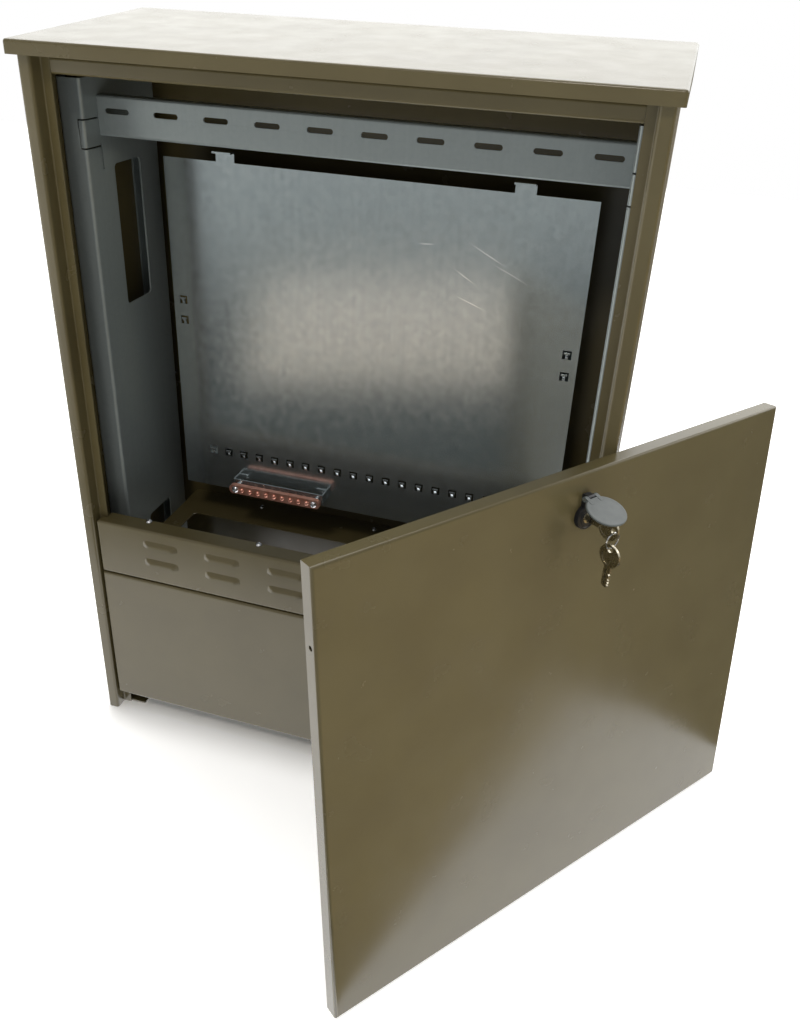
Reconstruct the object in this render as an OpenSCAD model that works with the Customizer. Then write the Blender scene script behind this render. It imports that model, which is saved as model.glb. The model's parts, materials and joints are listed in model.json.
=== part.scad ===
// Roadside utility cabinet with its lift-off door leaning against the front right corner.
// Millimetres, +Z up. The origin is the middle of the cabinet's footprint on the ground,
// +X is to the right of a person facing the door opening, +Y points into the cabinet.

/* [Body] */
// Outer width of the cabinet over its side panels
body_w = 600; // [480:1:900]
// Outer depth of the cabinet over its side panels
body_d = 230; // [200:1:420]
// Height of the side panels from the ground
side_h = 802; // [700:1:1100]
// Thickness of the painted sheet
sheet = 1.5; // [1:0.1:2.5]
// Inside radius of a fold in the sheet
fold_in = 1.5; // [0.5:0.1:3]
// Width of the front face of a corner post
post_w = 14; // [10:0.5:24]
// Depth of the rebate that takes the door and the panels
rebate_d = 16; // [12:0.5:24]
// Width of the stop flange at the back of the rebate
stop_w = 10; // [6:0.5:16]
// Width of the flange at the back of a side panel
rear_w = 20; // [12:0.5:30]
// Width of the flanges at the top and foot of a side panel
foot_w = 34; // [30:0.5:45]

/* [Roof] */
// Overhang of the roof past each side panel
roof_side = 6.7; // [4:0.1:20]
// Overhang of the roof past the front
roof_front = 8.7; // [4:0.1:20]
// Overhang of the roof past the back
roof_back = 9.9; // [4:0.1:20]
// Height of the roof's front edge
roof_edge = 13; // [8:0.5:30]
// Rise of the roof from its front to its back
roof_rise = 22; // [8:0.5:60]
// Rounding of the roof's corners
roof_r = 3; // [2:0.5:6]

/* [Front panels] */
// Height of the lower panel's bottom edge above the ground
skirt_z = 26.5; // [15:0.5:60]
// Height of the lower panel
lower_h = 193.5; // [150:0.5:260]
// Height of the vent panel
vent_h = 72.3; // [66:0.1:110]
// Gap between two panels and round their edges
panel_gap = 2; // [1:0.1:3]
// Setback of the two panels behind the posts
panel_in = 3; // [2:0.1:5]
// Depth of the ledge on top of the vent panel behind the rebate
ledge_over = 12; // [10:0.5:20]
// Depth of a panel's folded edge
pan_d = 11; // [6:0.5:12]
// Length of a louvre
louvre_l = 46; // [30:1:60]
// Height of a louvre
louvre_h = 9; // [7:0.5:12]
// Number of louvres in a row
louvre_n = 6; // [2:1:6]
// Distance from louvre to louvre along a row
louvre_pitch = 80; // [64:1:88]
// Distance between the two rows of louvres
louvre_rows = 25; // [20:1:30]

/* [Floor] */
// Front of the cable slot in the floor, from the posts' front
slot_front = 75; // [60:1:100]
// Distance from the cable slot's back edge to the back panel
slot_behind = 60; // [40:1:100]
// Distance from the cable slot's ends to the channels
slot_end = 26; // [15:1:80]

/* [Side channels] */
// Thickness of the galvanised sheet of the channels, rail and plate
zinc = 2; // [1.5:0.1:3]
// Distance of a channel's inner face from the edge of the stop flange
chan_in = 5; // [3:0.5:20]
// Front of a channel, from the posts' front
chan_y = 52; // [46:1:70]
// Distance of a channel's back from the back panel
chan_behind = 36; // [20:1:60]
// Foot of the channels above the ground
chan_z = 60; // [40:1:90]
// Distance of a channel's top from the roof
chan_below = 23; // [12:1:40]
// Depth of a window in a channel
window_d = 51.5; // [30:0.5:60]
// Height of a window in a channel
window_h = 156; // [100:1:180]
// Distance of the upper window's foot from the channel's top
window_below = 244; // [220:1:280]
// Distance between the two windows
window_pitch = 440; // [400:1:470]

/* [Cross rail] */
// Distance of the rail's foot from the channels' top
rail_below = 57; // [50:1:90]
// Height of the cross rail
rail_h = 40; // [30:1:50]
// Front of the cross rail, from the posts' front
rail_y = 78; // [74:1:90]
// Depth of the rail's lips
rail_lip = 13; // [8:1:20]
// Distance from the rail's ends to the middle of the outermost slot, at least
rail_margin = 20; // [18:1:60]
// Distance from slot to slot
rail_pitch = 55.2; // [40:0.1:60]
// Length of a slot
rail_slot_l = 27; // [15:0.5:35]
// Height of a slot
rail_slot_h = 5.5; // [4:0.1:8]

/* [Mounting plate] */
// Distance from the mounting plate's edges to the channels
plate_side = 29.5; // [10:0.5:60]
// Distance of the mounting plate's foot from the floor
plate_up = 60; // [50:1:90]
// Distance from the mounting plate's top edge to the cross rail
plate_below = 28; // [20:1:80]
// Distance from the mounting plate's front face to the back panel
plate_behind = 77; // [60:1:100]
// Width and height of a lance in the plate
lance = 10; // [8:0.5:14]
// Distance from the plate's edges to the middle of the outermost lance, at least
lance_margin = 36; // [30:1:80]
// Distance from lance to lance
lance_pitch = 21.1; // [18:0.1:24]
// Height of the row of lances above the plate's foot
lance_row = 53; // [40:1:80]

/* [Earth bar] */
// Length of the earth bar
bar_l = 122; // [80:1:160]
// Height of the earth bar
bar_h = 12; // [10:0.5:20]
// Thickness of the earth bar
bar_t = 6; // [4:0.5:10]
// Distance of the bar's middle to the left of the cabinet's middle
bar_left = 106; // [60:1:140]
// Height of the bar's middle above the plate's foot
bar_up = 17.5; // [14:0.5:40]
// Number of terminal screws
bar_n = 9; // [3:1:9]

/* [Door] */
// Gap between the closed door and each post
door_gap = 1.5; // [1:0.1:3]
// Gap between the closed door's top and the roof
door_head = 8.7; // [6:0.1:14]
// Width of the folded return behind the door's edges
door_return = 12; // [8:0.5:20]
// Turn of the leaning door away from the cabinet's front
door_turn = 52.2; // [40:0.1:70]
// Lean of the door against the cabinet
door_lean = 5; // [3:0.1:10]
// Distance along the door from its middle to the cabinet's corner
door_past = 55; // [20:0.5:110]

/* [Lock] */
// Distance of the lock's axis below the door's top edge
lock_drop = 43; // [38:0.5:60]
// Radius of the lock's round face
rose_r = 12; // [10:0.5:16]
// Thickness of the lock's face
rose_t = 5; // [3:0.5:8]
// Radius of the lock's threaded barrel
barrel_r = 9.4; // [8:0.1:11]
// Radius of the turning plug
plug_r = 5.25; // [4:0.05:6]
// Distance of the cover's hinge above the lock's axis
hinge_up = 21; // [19:0.5:26]
// Distance of the cover's hinge in front of the door
hinge_out = 6.5; // [6:0.1:9]
// Radius of the cover
cover_r = 19; // [15:0.5:24]
// Thickness of the cover
cover_t = 2; // [1.5:0.1:3]
// Radius of the cover's hinge pin
pin_r = 1; // [0.8:0.05:1.5]
// Radius of a key's bow
bow_r = 11.5; // [10:0.5:12.5]
// Thickness of a key
key_t = 2.2; // [1.8:0.1:2.6]
// Distance of the bow's middle in front of the door
bow_out = 31; // [29:0.5:36]
// Radius of the key ring's middle line
ring_r = 8; // [7:0.5:8.5]
// Radius of the key ring's wire
wire_r = 1; // [0.8:0.1:1.3]
// Length of the cam from the lock's axis
cam_l = 45; // [38:0.5:50]

/* [Fits] */
// Radial clearance of a pin or plug that turns
run_gap = 0.05; // [0.02:0.01:0.08]
// Clearance between pieces that are pushed together
slip_gap = 0.2; // [0.1:0.05:0.4]
// Gap between a piece that leans or hangs and what carries it
rest_gap = 0.3; // [0.2:0.05:0.4]

/* [Hidden] */
$fn = 48;

olive = "#6b6350";
zinc_blue = "#7c878b";
zinc_plate = "#9aa3a8";
copper = "#c98a76";
bright_zinc = "#d6d8da";
lock_black = "#1d1e20";
cover_grey = "#5f6663";
nickel = "#b9ad92";

front_y = -body_d / 2;
wall_x = body_w / 2 - sheet;
post_x = body_w / 2 - post_w;
stop_x = post_x - stop_w;
fold_out = fold_in + sheet;
stop_back = rebate_d + sheet;
flange_y0 = stop_back + 1;
back_y = body_d - 2 * sheet;
flange_y1 = back_y - 1;
foot_t = 2;
anchor_r = 6.5;
anchor_x = body_w / 2 - 22;
anchor_y = body_d / 2 - 45;
m6_r = 3;
m6_hole = 3.3;
m4_r = 2;
m4_hole = 2.2;

vent_z = skirt_z + lower_h + panel_gap;
ledge_z = vent_z + vent_h;
ledge_d = rebate_d + ledge_over;
floor_z = vent_z;
stud_outer = stop_x - 52;
door_w = body_w - 2 * (post_w + door_gap);
door_h = side_h - ledge_z - door_head;
door_t = rebate_d;
door_touch = door_w / 2 + door_past;
chan_x = stop_x - chan_in;
chan_d = back_y - chan_behind - chan_y;
chan_top = side_h - chan_below;
window_z = chan_top - window_below;
rail_z = chan_top - rail_below;
rail_slots = floor(2 * (chan_x - rail_margin) / rail_pitch) + 1;
plate_w = 2 * (chan_x - plate_side);
plate_z = floor_z + plate_up;
plate_h = rail_z - plate_below - plate_z;
plate_y = back_y - plate_behind;
lance_n = floor((plate_w - 2 * lance_margin) / lance_pitch) + 1;
slot_d = back_y - slot_behind - slot_front;
slot_w = 2 * (chan_x - slot_end);

// ---- Sheet metal ----

function unit(v) = v / norm(v);
function left_of(a, b) = let (d = unit(b - a)) [-d[1], d[0]];
function turns_left(a, b, c) = cross(b - a, c - b) > 0;

// Corner b of the line a-b-c, rounded with radius r
function round_corner(a, b, c, r, n = 5) =
    let (u = unit(a - b), v = unit(c - b), half = acos(u * v) / 2,
         reach = r / tan(half), mid = b + unit(u + v) * r / sin(half),
         p = b + u * reach, q = b + v * reach,
         a0 = atan2(p[1] - mid[1], p[0] - mid[0]),
         raw = atan2(q[1] - mid[1], q[0] - mid[0]) - a0,
         sweep = raw > 180 ? raw - 360 : raw < -180 ? raw + 360 : raw)
    [for (i = [0 : n]) mid + r * [cos(a0 + sweep * i / n), sin(a0 + sweep * i / n)]];

// Face line of a folded sheet whose thickness t lies to the left of the line, or to its
// right where t is negative; every fold has the inside radius r
function folded_line(path, t, r) = [
    path[0],
    for (i = [1 : 1 : len(path) - 2])
        each round_corner(path[i - 1], path[i], path[i + 1],
                          turns_left(path[i - 1], path[i], path[i + 1]) == (t > 0)
                              ? r + abs(t) : r),
    path[len(path) - 1]];

// The same line moved by t to its left, walked backwards
function other_face(line, t) = let (last = len(line) - 1) [
    for (i = [last : -1 : 0])
        let (n0 = left_of(line[max(i - 1, 0)], line[max(i, 1)]),
             n1 = left_of(line[min(i, last - 1)], line[min(i + 1, last)]))
        line[i] + t * (n0 + n1) / (1 + n0 * n1)];

function folded_sheet(path, t = sheet, r = fold_in) =
    let (line = folded_line(path, t, r)) concat(line, other_face(line, t));

// Outline of a w by h rectangle about the origin with rounded corners
function soft_rectangle(w, h, r) = let (x = w / 2, y = h / 2) concat(
    round_corner([x, -y], [x, y], [-x, y], r), round_corner([x, y], [-x, y], [-x, -y], r),
    round_corner([-x, y], [-x, -y], [x, -y], r), round_corner([-x, -y], [x, -y], [x, y], r));

// Children are drawn with Y counted from the front face of the posts
module cabinet() {
    translate([0, front_y, 0]) children();
}

// An outline given as [y, z], swept along X between x0 and x1
module sweep_x(x0, x1) {
    translate([x0, 0, 0]) rotate([90, 0, 90]) linear_extrude(x1 - x0) children();
}

// An outline given as [x, z], swept along Y between y0 and y1
module sweep_y(y0, y1) {
    translate([0, y1, 0]) rotate([90, 0, 0]) linear_extrude(y1 - y0) children();
}

// A box between two corners
module block(a, b) {
    translate(a) cube(b - a);
}

// A round bar along Z from z0 to z1
module bar_z(r, z0, z1, sides = $fn) {
    translate([0, 0, z0]) cylinder(r = r, h = z1 - z0, $fn = sides);
}

// A round bar along Y from y0 to y1
module bar_y(r, y0, y1, sides = $fn) {
    translate([0, y1, 0]) rotate([90, 0, 0]) cylinder(r = r, h = y1 - y0, $fn = sides);
}

// A round bar along X, from x0 to x1
module bar_x(r, x0, x1) {
    translate([x0, 0, 0]) rotate([0, 90, 0]) cylinder(r = r, h = x1 - x0);
}

// A domed screw head standing on Z = 0, with its shank below
module dome_screw(head_r, head_h, shank_r, shank_l, sides = 32) {
    ball = (head_r * head_r + head_h * head_h) / (2 * head_h);
    rotate_extrude($fn = sides) polygon(concat(
        [[0, -shank_l], [shank_r, -shank_l], [shank_r, 0]],
        [for (i = [0 : 6]) let (a = asin(head_r / ball) * (1 - i / 6))
            [ball * sin(a), ball * cos(a) - ball + head_h]]));
}

// ---- Side panels, back and head of the cabinet ----

function side_profile() = folded_sheet([
    [stop_x, rebate_d], [post_x, rebate_d], [post_x, 0], [body_w / 2, 0],
    [body_w / 2, body_d], [body_w / 2 - rear_w, body_d]]);

roof_bolt_x = wall_x - 14;
roof_bolt_front = 32;
roof_bolt_back = back_y - 13;
back_screw_x = body_w / 2 - 10;
back_screw_z = [100, side_h / 2, side_h - 100];

// The right side panel; the left one is its mirror image
module side_panel() {
    color(olive) cabinet() difference() {
        union() {
            linear_extrude(side_h) polygon(side_profile());
            block([body_w / 2 - foot_w, flange_y0, side_h - sheet],
                  [wall_x, flange_y1, side_h]);
            block([body_w / 2 - foot_w - 10, flange_y0, 0], [wall_x, flange_y1, foot_t]);
        }
        for (side = [-1, 1]) translate([anchor_x, body_d / 2 + side * anchor_y, 0])
            bar_z(anchor_r, -1, foot_t + 1);
        for (y = [roof_bolt_front, roof_bolt_back]) translate([roof_bolt_x, y, 0])
            bar_z(m6_hole, side_h - 5, side_h + 1);
        for (z = back_screw_z) translate([back_screw_x, 0, z])
            bar_y(m4_hole, back_y + sheet - 1, body_d + 1);
    }
}

module right_side_panel() {
    side_panel();
}

module left_side_panel() {
    mirror([1, 0, 0]) side_panel();
}

// Flange under the roof that the header and the back panel share
cap_z = side_h - 2 * sheet;
cap_x = wall_x - fold_in - slip_gap;

module back_panel() {
    color(olive) cabinet() difference() {
        sweep_x(-cap_x, cap_x) polygon(folded_sheet([
            [back_y - 24, side_h - sheet], [back_y + sheet, side_h - sheet],
            [back_y + sheet, foot_t]], -sheet));
        for (x = [-roof_bolt_x, roof_bolt_x]) translate([x, roof_bolt_back, 0])
            bar_z(m6_hole, cap_z - 1, side_h);
        for (x = [-back_screw_x, back_screw_x], z = back_screw_z) translate([x, 0, z])
            bar_y(m4_hole, back_y - 1, back_y + sheet + 1);
    }
}

module back_screws() {
    color(bright_zinc) cabinet()
        for (x = [-back_screw_x, back_screw_x], z = back_screw_z)
            translate([x, body_d, z]) rotate([-90, 0, 0])
                dome_screw(4.2, 2.6, m4_r, 10);
}

header_h = 17;

module header_rail() {
    notch_x = stop_x - slip_gap;
    color(olive) cabinet() difference() {
        sweep_x(-cap_x, cap_x) polygon(folded_sheet([
            [rebate_d + 10, side_h - header_h], [rebate_d, side_h - header_h],
            [rebate_d, side_h - sheet], [roof_bolt_front + 12, side_h - sheet]], -sheet));
        for (side = [0, 1]) mirror([side, 0, 0])
            block([notch_x, 0, side_h - 2 * header_h], [cap_x + 1, flange_y0, side_h]);
        for (side = [0, 1]) mirror([side, 0, 0])
            block([notch_x, 0, side_h - 2 * header_h], [cap_x + 1, body_d, cap_z - 3]);
        for (x = [-roof_bolt_x, roof_bolt_x]) translate([x, roof_bolt_front, 0])
            bar_z(m6_hole, cap_z - 1, side_h);
    }
}

// ---- Roof ----

roof_x = body_w / 2 + roof_side;
roof_y1 = body_d + roof_back;
roof_slope = roof_rise / (roof_front + roof_y1);

// Height of the roof's upper face at distance y from the posts' front
function roof_top(y) = side_h + roof_edge + roof_slope * (y + roof_front);

// Height of the roof's under face, one sheet below the upper one
function roof_under(y) = roof_top(y) - sheet * sqrt(1 + roof_slope * roof_slope);

module roof() {
    corners = [for (x = [-1, 1] * (roof_x - roof_r),
                    y = [roof_r - roof_front, roof_y1 - roof_r]) [x, y]];
    drop = roof_r * sqrt(1 + roof_slope * roof_slope);
    in_r = roof_r - sheet;
    color(olive) cabinet() difference() {
        hull() for (p = corners) {
            translate([p[0], p[1], roof_top(p[1]) - drop]) sphere(roof_r, $fn = 24);
            translate([p[0], p[1], side_h]) cylinder(r = roof_r, h = 1, $fn = 24);
        }
        hull() for (p = corners)
            translate([p[0], p[1], side_h - 5])
                cylinder(r = in_r, h = roof_under(p[1] - (p[1] < body_d / 2 ? in_r : -in_r))
                                       - side_h + 5 - (p[1] < body_d / 2 ? 0 : in_r * roof_slope * 2),
                         $fn = 24);
    }
}

rib_x0 = wall_x - 26;
rib_y0 = 20;
rib_y1 = back_y - 2;

// Two angles under the roof that sit on the side panels' top flanges
module roof_ribs() {
    color(olive) cabinet() for (side = [0, 1]) mirror([side, 0, 0]) difference() {
        union() {
            block([rib_x0, rib_y0, side_h], [wall_x, rib_y1, side_h + sheet]);
            sweep_x(rib_x0, rib_x0 + sheet) polygon([
                [rib_y0, side_h], [rib_y1, side_h], [rib_y1, roof_under(rib_y1) - slip_gap],
                [rib_y0, roof_under(rib_y0) - slip_gap]]);
        }
        for (y = [roof_bolt_front, roof_bolt_back]) translate([roof_bolt_x, y, 0])
            bar_z(m6_hole, side_h - 1, side_h + 3);
    }
}

module at_roof_bolts() {
    cabinet() for (x = [-roof_bolt_x, roof_bolt_x], y = [roof_bolt_front, roof_bolt_back])
        translate([x, y, 0]) children();
}

module roof_bolts() {
    color(bright_zinc) at_roof_bolts() {
        bar_z(5.77, cap_z - 4, cap_z, 6);
        bar_z(m6_r, cap_z, side_h + sheet + 7);
    }
}

module roof_nuts() {
    color(bright_zinc) at_roof_bolts() difference() {
        bar_z(5.77, side_h + sheet, side_h + sheet + 5, 6);
        bar_z(m6_r + 0.02, side_h, side_h + sheet + 6);
    }
}

// ---- Front panels ----

panel_x = post_x - panel_gap;

// Open box of folded sheet between two corners, folded towards +Y
module pan(x, z0, z1) {
    difference() {
        intersection() {
            linear_extrude(z1) polygon(concat(
                [[-x, panel_in + pan_d]],
                round_corner([-x, panel_in + pan_d], [-x, panel_in], [x, panel_in], fold_out),
                round_corner([-x, panel_in], [x, panel_in], [x, panel_in + pan_d], fold_out),
                [[x, panel_in + pan_d]]));
            sweep_x(-x, x) polygon(concat(
                [[panel_in + pan_d, z0]],
                round_corner([panel_in + pan_d, z0], [panel_in, z0], [panel_in, z1], fold_out),
                round_corner([panel_in, z0], [panel_in, z1], [panel_in + pan_d, z1], fold_out),
                [[panel_in + pan_d, z1]]));
        }
        block([sheet - x, panel_in + sheet, z0 + sheet], [x - sheet, rebate_d + 1, z1 - sheet]);
    }
}

hook_z = [skirt_z + 34, skirt_z + lower_h - 40];

module lower_panel() {
    inner = stop_x - slip_gap;
    color(olive) cabinet() {
        pan(panel_x, skirt_z, skirt_z + lower_h);
        for (side = [0, 1], z = hook_z) mirror([side, 0, 0]) translate([0, 0, z])
            linear_extrude(20) polygon(folded_sheet([
                [inner - 10, panel_in + sheet], [inner, panel_in + sheet],
                [inner, stop_back + slip_gap], [inner + stop_w, stop_back + slip_gap]],
                sheet, 0.5));
    }
}

louvre_out = 3.4;
louvre_t = 1.2;
louvre_z = ledge_z - 18;

// Solid body of one louvre, open faces and all, grown inwards by t
module louvre_form(t) {
    half = louvre_l / 2 - t;
    top = louvre_h / 2 - t;
    out = louvre_out - t;
    intersection() {
        sweep_x(-half, half) polygon([
            [0.5, top], [0, top], [-out * 0.55, top * 0.35], [-out, -top * 0.25],
            [-out, -louvre_h / 2], [0.5, -louvre_h / 2]]);
        translate([0, 0, -louvre_h]) linear_extrude(2 * louvre_h) polygon([
            [half, 0.5], [half, 0], [half - 3.5, -out * 0.7], [half - 8, -out],
            [8 - half, -out], [3.5 - half, -out * 0.7], [-half, 0], [-half, 0.5]]);
    }
}

module at_louvres() {
    for (i = [0 : louvre_n - 1], row = [0, 1])
        translate([(i - (louvre_n - 1) / 2) * louvre_pitch, panel_in,
                   louvre_z - row * louvre_rows]) children();
}

stud_x = [-stud_outer, -81, 81, stud_outer];
stud_y = ledge_d - 5;
stud_r = 4;

module vent_panel() {
    inner = stop_x - slip_gap;
    color(olive) cabinet() difference() {
        union() {
            pan(panel_x, vent_z, ledge_z);
            sweep_x(-inner, inner) polygon(folded_sheet([
                [panel_in + pan_d - 1, ledge_z], [ledge_d, ledge_z], [ledge_d, ledge_z - 12]],
                -sheet));
            at_louvres() louvre_form(0);
        }
        at_louvres() difference() {
            louvre_form(louvre_t);
            block([-louvre_l, -louvre_t, -louvre_h], [louvre_l, 1, louvre_t - louvre_h / 2 - 0.1]);
        }
        at_louvres() block([2.5 - louvre_l / 2, -0.5, 1 - louvre_h / 2],
                           [louvre_l / 2 - 2.5, sheet + 1, louvre_h / 2 - 3]);
        for (x = stud_x) translate([x, stud_y, 0]) bar_z(m4_hole, ledge_z - 5, ledge_z + 1);
    }
}

// Angle behind the stop flanges that carries the ledge
module sill_rail() {
    top = ledge_z - sheet;
    color(olive) cabinet() difference() {
        sweep_x(-post_x + 1, post_x - 1) polygon(folded_sheet([
            [ledge_d - sheet - fold_in - slip_gap, top], [stop_back, top], [stop_back, top - 10]]));
        for (x = stud_x) translate([x, stud_y, 0]) bar_z(m4_hole, top - 4, top + 1);
    }
}

module ledge_screws() {
    color(bright_zinc) cabinet() for (x = stud_x) translate([x, stud_y, ledge_z])
        dome_screw(stud_r, 2.8, m4_r, 9);
}

// ---- Floor ----

floor_screw_x = [-165, 0, 165];
floor_screw_y = back_y - 15;
floor_y0 = stop_back + sheet + 0.5;
floor_y1 = back_y - 1;

module floor_plate() {
    flange_z = floor_z - 24;
    color(olive) cabinet() difference() {
        union() {
            block([-chan_x, floor_y0, floor_z - sheet], [chan_x, floor_y1, floor_z]);
            block([-chan_x, floor_y0, floor_z - 14], [chan_x, floor_y0 + sheet, floor_z]);
            for (x = [-chan_x, chan_x - sheet])
                block([x, chan_y + 8, flange_z], [x + sheet, chan_y + chan_d - 8, floor_z]);
        }
        translate([0, slot_front + slot_d / 2, 0]) linear_extrude(floor_z + 1)
            polygon(soft_rectangle(slot_w, slot_d, 6));
        for (x = floor_screw_x) translate([x, floor_screw_y, 0])
            bar_z(m4_hole, floor_z - 4, floor_z + 1);
    }
}

module rear_floor_rail() {
    top = floor_z - sheet;
    color(olive) cabinet() difference() {
        sweep_x(-chan_x + 1, chan_x - 1) polygon(folded_sheet([
            [back_y, top - 26], [back_y, top], [back_y - 26, top]]));
        for (x = floor_screw_x) translate([x, floor_screw_y, 0])
            bar_z(m4_hole, top - 4, top + 1);
    }
}

module floor_screws() {
    color(bright_zinc) cabinet() for (x = floor_screw_x)
        translate([x, floor_screw_y, floor_z]) dome_screw(3.6, 2.4, m4_r, 8);
}

// ---- Galvanised channels, cross rail and mounting plate ----

window_y = chan_y + 46.5;
tongue_h = 24;
tongue_z = rail_z + (rail_h - tongue_h) / 2;
slit = 1.6;

// The right channel; the left one is its mirror image
module channel() {
    color(zinc_blue) cabinet() difference() {
        translate([0, 0, chan_z]) linear_extrude(chan_top - chan_z) polygon(folded_sheet([
            [wall_x, chan_y + 15], [wall_x, chan_y], [chan_x, chan_y],
            [chan_x, chan_y + chan_d], [wall_x, chan_y + chan_d],
            [wall_x, chan_y + chan_d - 15]], -zinc));
        for (z = [window_z, window_z - window_pitch])
            translate([chan_x - 1, window_y + window_d / 2, z + window_h / 2])
                rotate([90, 0, 90]) linear_extrude(zinc + 2)
                    polygon(soft_rectangle(window_d, window_h, 5));
        for (z = [rail_z - 10, rail_z + 18])
            block([chan_x - 1, chan_y - 1, z - slit / 2], [chan_x + zinc + 5, rail_y, z + slit / 2]);
        block([chan_x + zinc + 4, chan_y - 1, rail_z - 10],
              [chan_x + zinc + 4 + slit, chan_y + 3, rail_z + 18]);
        for (z = [tongue_z, tongue_z - 42])
            block([chan_x - 1, rail_y - slip_gap, z],
                  [chan_x + zinc + 1, rail_y + zinc + slip_gap, z + tongue_h + 2]);
    }
}

module right_channel() {
    channel();
}

module left_channel() {
    mirror([1, 0, 0]) channel();
}

module cross_rail() {
    reach = chan_x + zinc + 1;
    color(zinc_blue) cabinet() difference() {
        union() {
            sweep_x(-chan_x + slip_gap, chan_x - slip_gap) polygon(folded_sheet([
                [rail_y + rail_lip, rail_z], [rail_y, rail_z], [rail_y, rail_z + rail_h],
                [rail_y + rail_lip, rail_z + rail_h]], -zinc, 1));
            block([-reach, rail_y, tongue_z], [reach, rail_y + zinc, tongue_z + tongue_h]);
        }
        for (i = [0 : rail_slots - 1])
            translate([(i - (rail_slots - 1) / 2) * rail_pitch, rail_y, rail_z + 25])
                rail_slot();
    }
}

// One slot with round ends, cut through the cross rail's web
module rail_slot() {
    r = rail_slot_h / 2;
    reach = rail_slot_l / 2 - r;
    for (x = [-reach, reach]) translate([x, 0, 0]) bar_y(r, -1, zinc + 1, 24);
    block([-reach, -1, -r], [reach, zinc + 1, r]);
}

side_lances = [for (x = [-1, 1], z = [224, 249]) [x * (plate_w / 2 - 12.5), z]];
row_lances = [for (i = [0 : lance_n - 1]) [(i - (lance_n - 1) / 2) * lance_pitch, lance_row]];
lances = concat(row_lances, side_lances);
hook_x = plate_w / 2 - 75.5;

module mounting_plate() {
    tab = lance - 4.4;
    color(zinc_plate) cabinet() translate([0, plate_y, plate_z]) {
        difference() {
            block([-plate_w / 2, 0, 0], [plate_w / 2, zinc, plate_h]);
            for (p = lances) translate([p[0], 0, p[1]])
                block([-lance / 2, -1, -lance / 2], [lance / 2, zinc + 1, lance / 2]);
        }
        for (p = lances) translate([p[0], 0, p[1]])
            sweep_x(-tab / 2, tab / 2) polygon([
                [0, -lance / 2], [zinc, -lance / 2], [zinc - 2, 0], [zinc - 2, lance / 2 - 2.4],
                [-2, lance / 2 - 2.4], [-2, 0]]);
        for (x = [-hook_x, hook_x]) translate([x, 0, 0]) sweep_x(-11, 11)
            polygon(folded_sheet([[zinc, plate_h - 1], [zinc, plate_h + 12],
                                  [-9, plate_h + 12]], zinc, 0.5));
    }
}

// Top-hat post between the back panel and the mounting plate, right of the middle
module plate_support() {
    x0 = plate_w / 2 - 51.5;
    x1 = plate_w / 2 - 21.5;
    back = back_y - sheet;
    front = plate_y + zinc;
    color(zinc_blue) cabinet() translate([0, 0, plate_z + 20]) linear_extrude(plate_h - 40)
        polygon(folded_sheet([[x0 - 12, back], [x0, back], [x0, front],
                              [x1, front], [x1, back], [x1 + 12, back]], sheet, 0.5));
}

module right_plate_support() {
    plate_support();
}

module left_plate_support() {
    mirror([1, 0, 0]) plate_support();
}

// ---- Earth bar ----

bar_z0 = plate_z + bar_up - bar_h / 2;
bar_y0 = plate_y - 28;
strap_y = bar_y0 + bar_t + 8;
strap_h = bar_h + 1.5;
bar_end_x = bar_l / 2 - 8;
terminal_pitch = (bar_l - 34) / max(bar_n - 1, 1);

module at_bar() {
    cabinet() translate([-bar_left, 0, bar_z0]) children();
}

// Strap with two legs and inward feet that stands off the mounting plate and carries the bar
module earth_bar_bracket() {
    half = bar_l / 2;
    foot = plate_y;
    face = strap_y - sheet;
    color(zinc_plate) at_bar() difference() {
        linear_extrude(strap_h) polygon(folded_sheet([
            [-half + 14, foot], [-half, foot], [-half, face], [half, face],
            [half, foot], [half - 14, foot]], sheet, 0.5));
        for (x = [-bar_end_x, bar_end_x]) translate([x, 0, bar_h / 2])
            bar_y(m4_hole, face - 1, strap_y + 1);
    }
}

module earth_bar() {
    color(copper) at_bar() difference() {
        block([-bar_l / 2, bar_y0, 0], [bar_l / 2, bar_y0 + bar_t, bar_h]);
        for (i = [0 : bar_n - 1])
            translate([(i - (bar_n - 1) / 2) * terminal_pitch, 0, bar_h / 2])
                bar_y(m4_hole, bar_y0 - 1, bar_y0 + bar_t + 1);
        for (x = [-bar_end_x, bar_end_x]) translate([x, 0, bar_h / 2])
            bar_y(m4_hole, bar_y0 - 1, bar_y0 + bar_t + 1);
    }
}

// Terminal screws along the bar, and two longer ones with spacers at its ends
module earth_bar_screws() {
    color(bright_zinc) at_bar() {
        for (i = [0 : bar_n - 1])
            translate([(i - (bar_n - 1) / 2) * terminal_pitch, bar_y0, bar_h / 2])
                rotate([90, 0, 0]) dome_screw(3.2, 2.4, m4_r, bar_t + 1, 20);
        for (x = [-bar_end_x, bar_end_x]) translate([x, bar_y0, bar_h / 2]) {
            rotate([90, 0, 0]) dome_screw(4.6, 3, m4_r, strap_y - bar_y0 + sheet + 3, 24);
            bar_y(4, bar_t, strap_y - sheet - bar_y0, 24);
        }
    }
}

// ---- Door ----

door_r = 2 * sheet;
tongue_d = ledge_d + 4;
stud_hole = stud_r + 2 * slip_gap;
lean_y = door_t * cos(door_lean) + door_h * sin(door_lean);
lean_z = tongue_d * sin(door_lean);

// Children are drawn in the door's own frame: X along its width from the left edge,
// Y from its front face to its back, Z from its bottom edge
module leaning_door() {
    translate([body_w / 2 - fold_out, front_y + fold_out, 0]) rotate([0, 0, door_turn])
        translate([-door_touch, -lean_y - fold_out - rest_gap, lean_z])
            rotate([-door_lean, 0, 0]) children();
}

lock_x = door_w / 2;
lock_z = door_h - lock_drop;

module at_lock() {
    leaning_door() translate([lock_x, 0, lock_z]) children();
}

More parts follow.
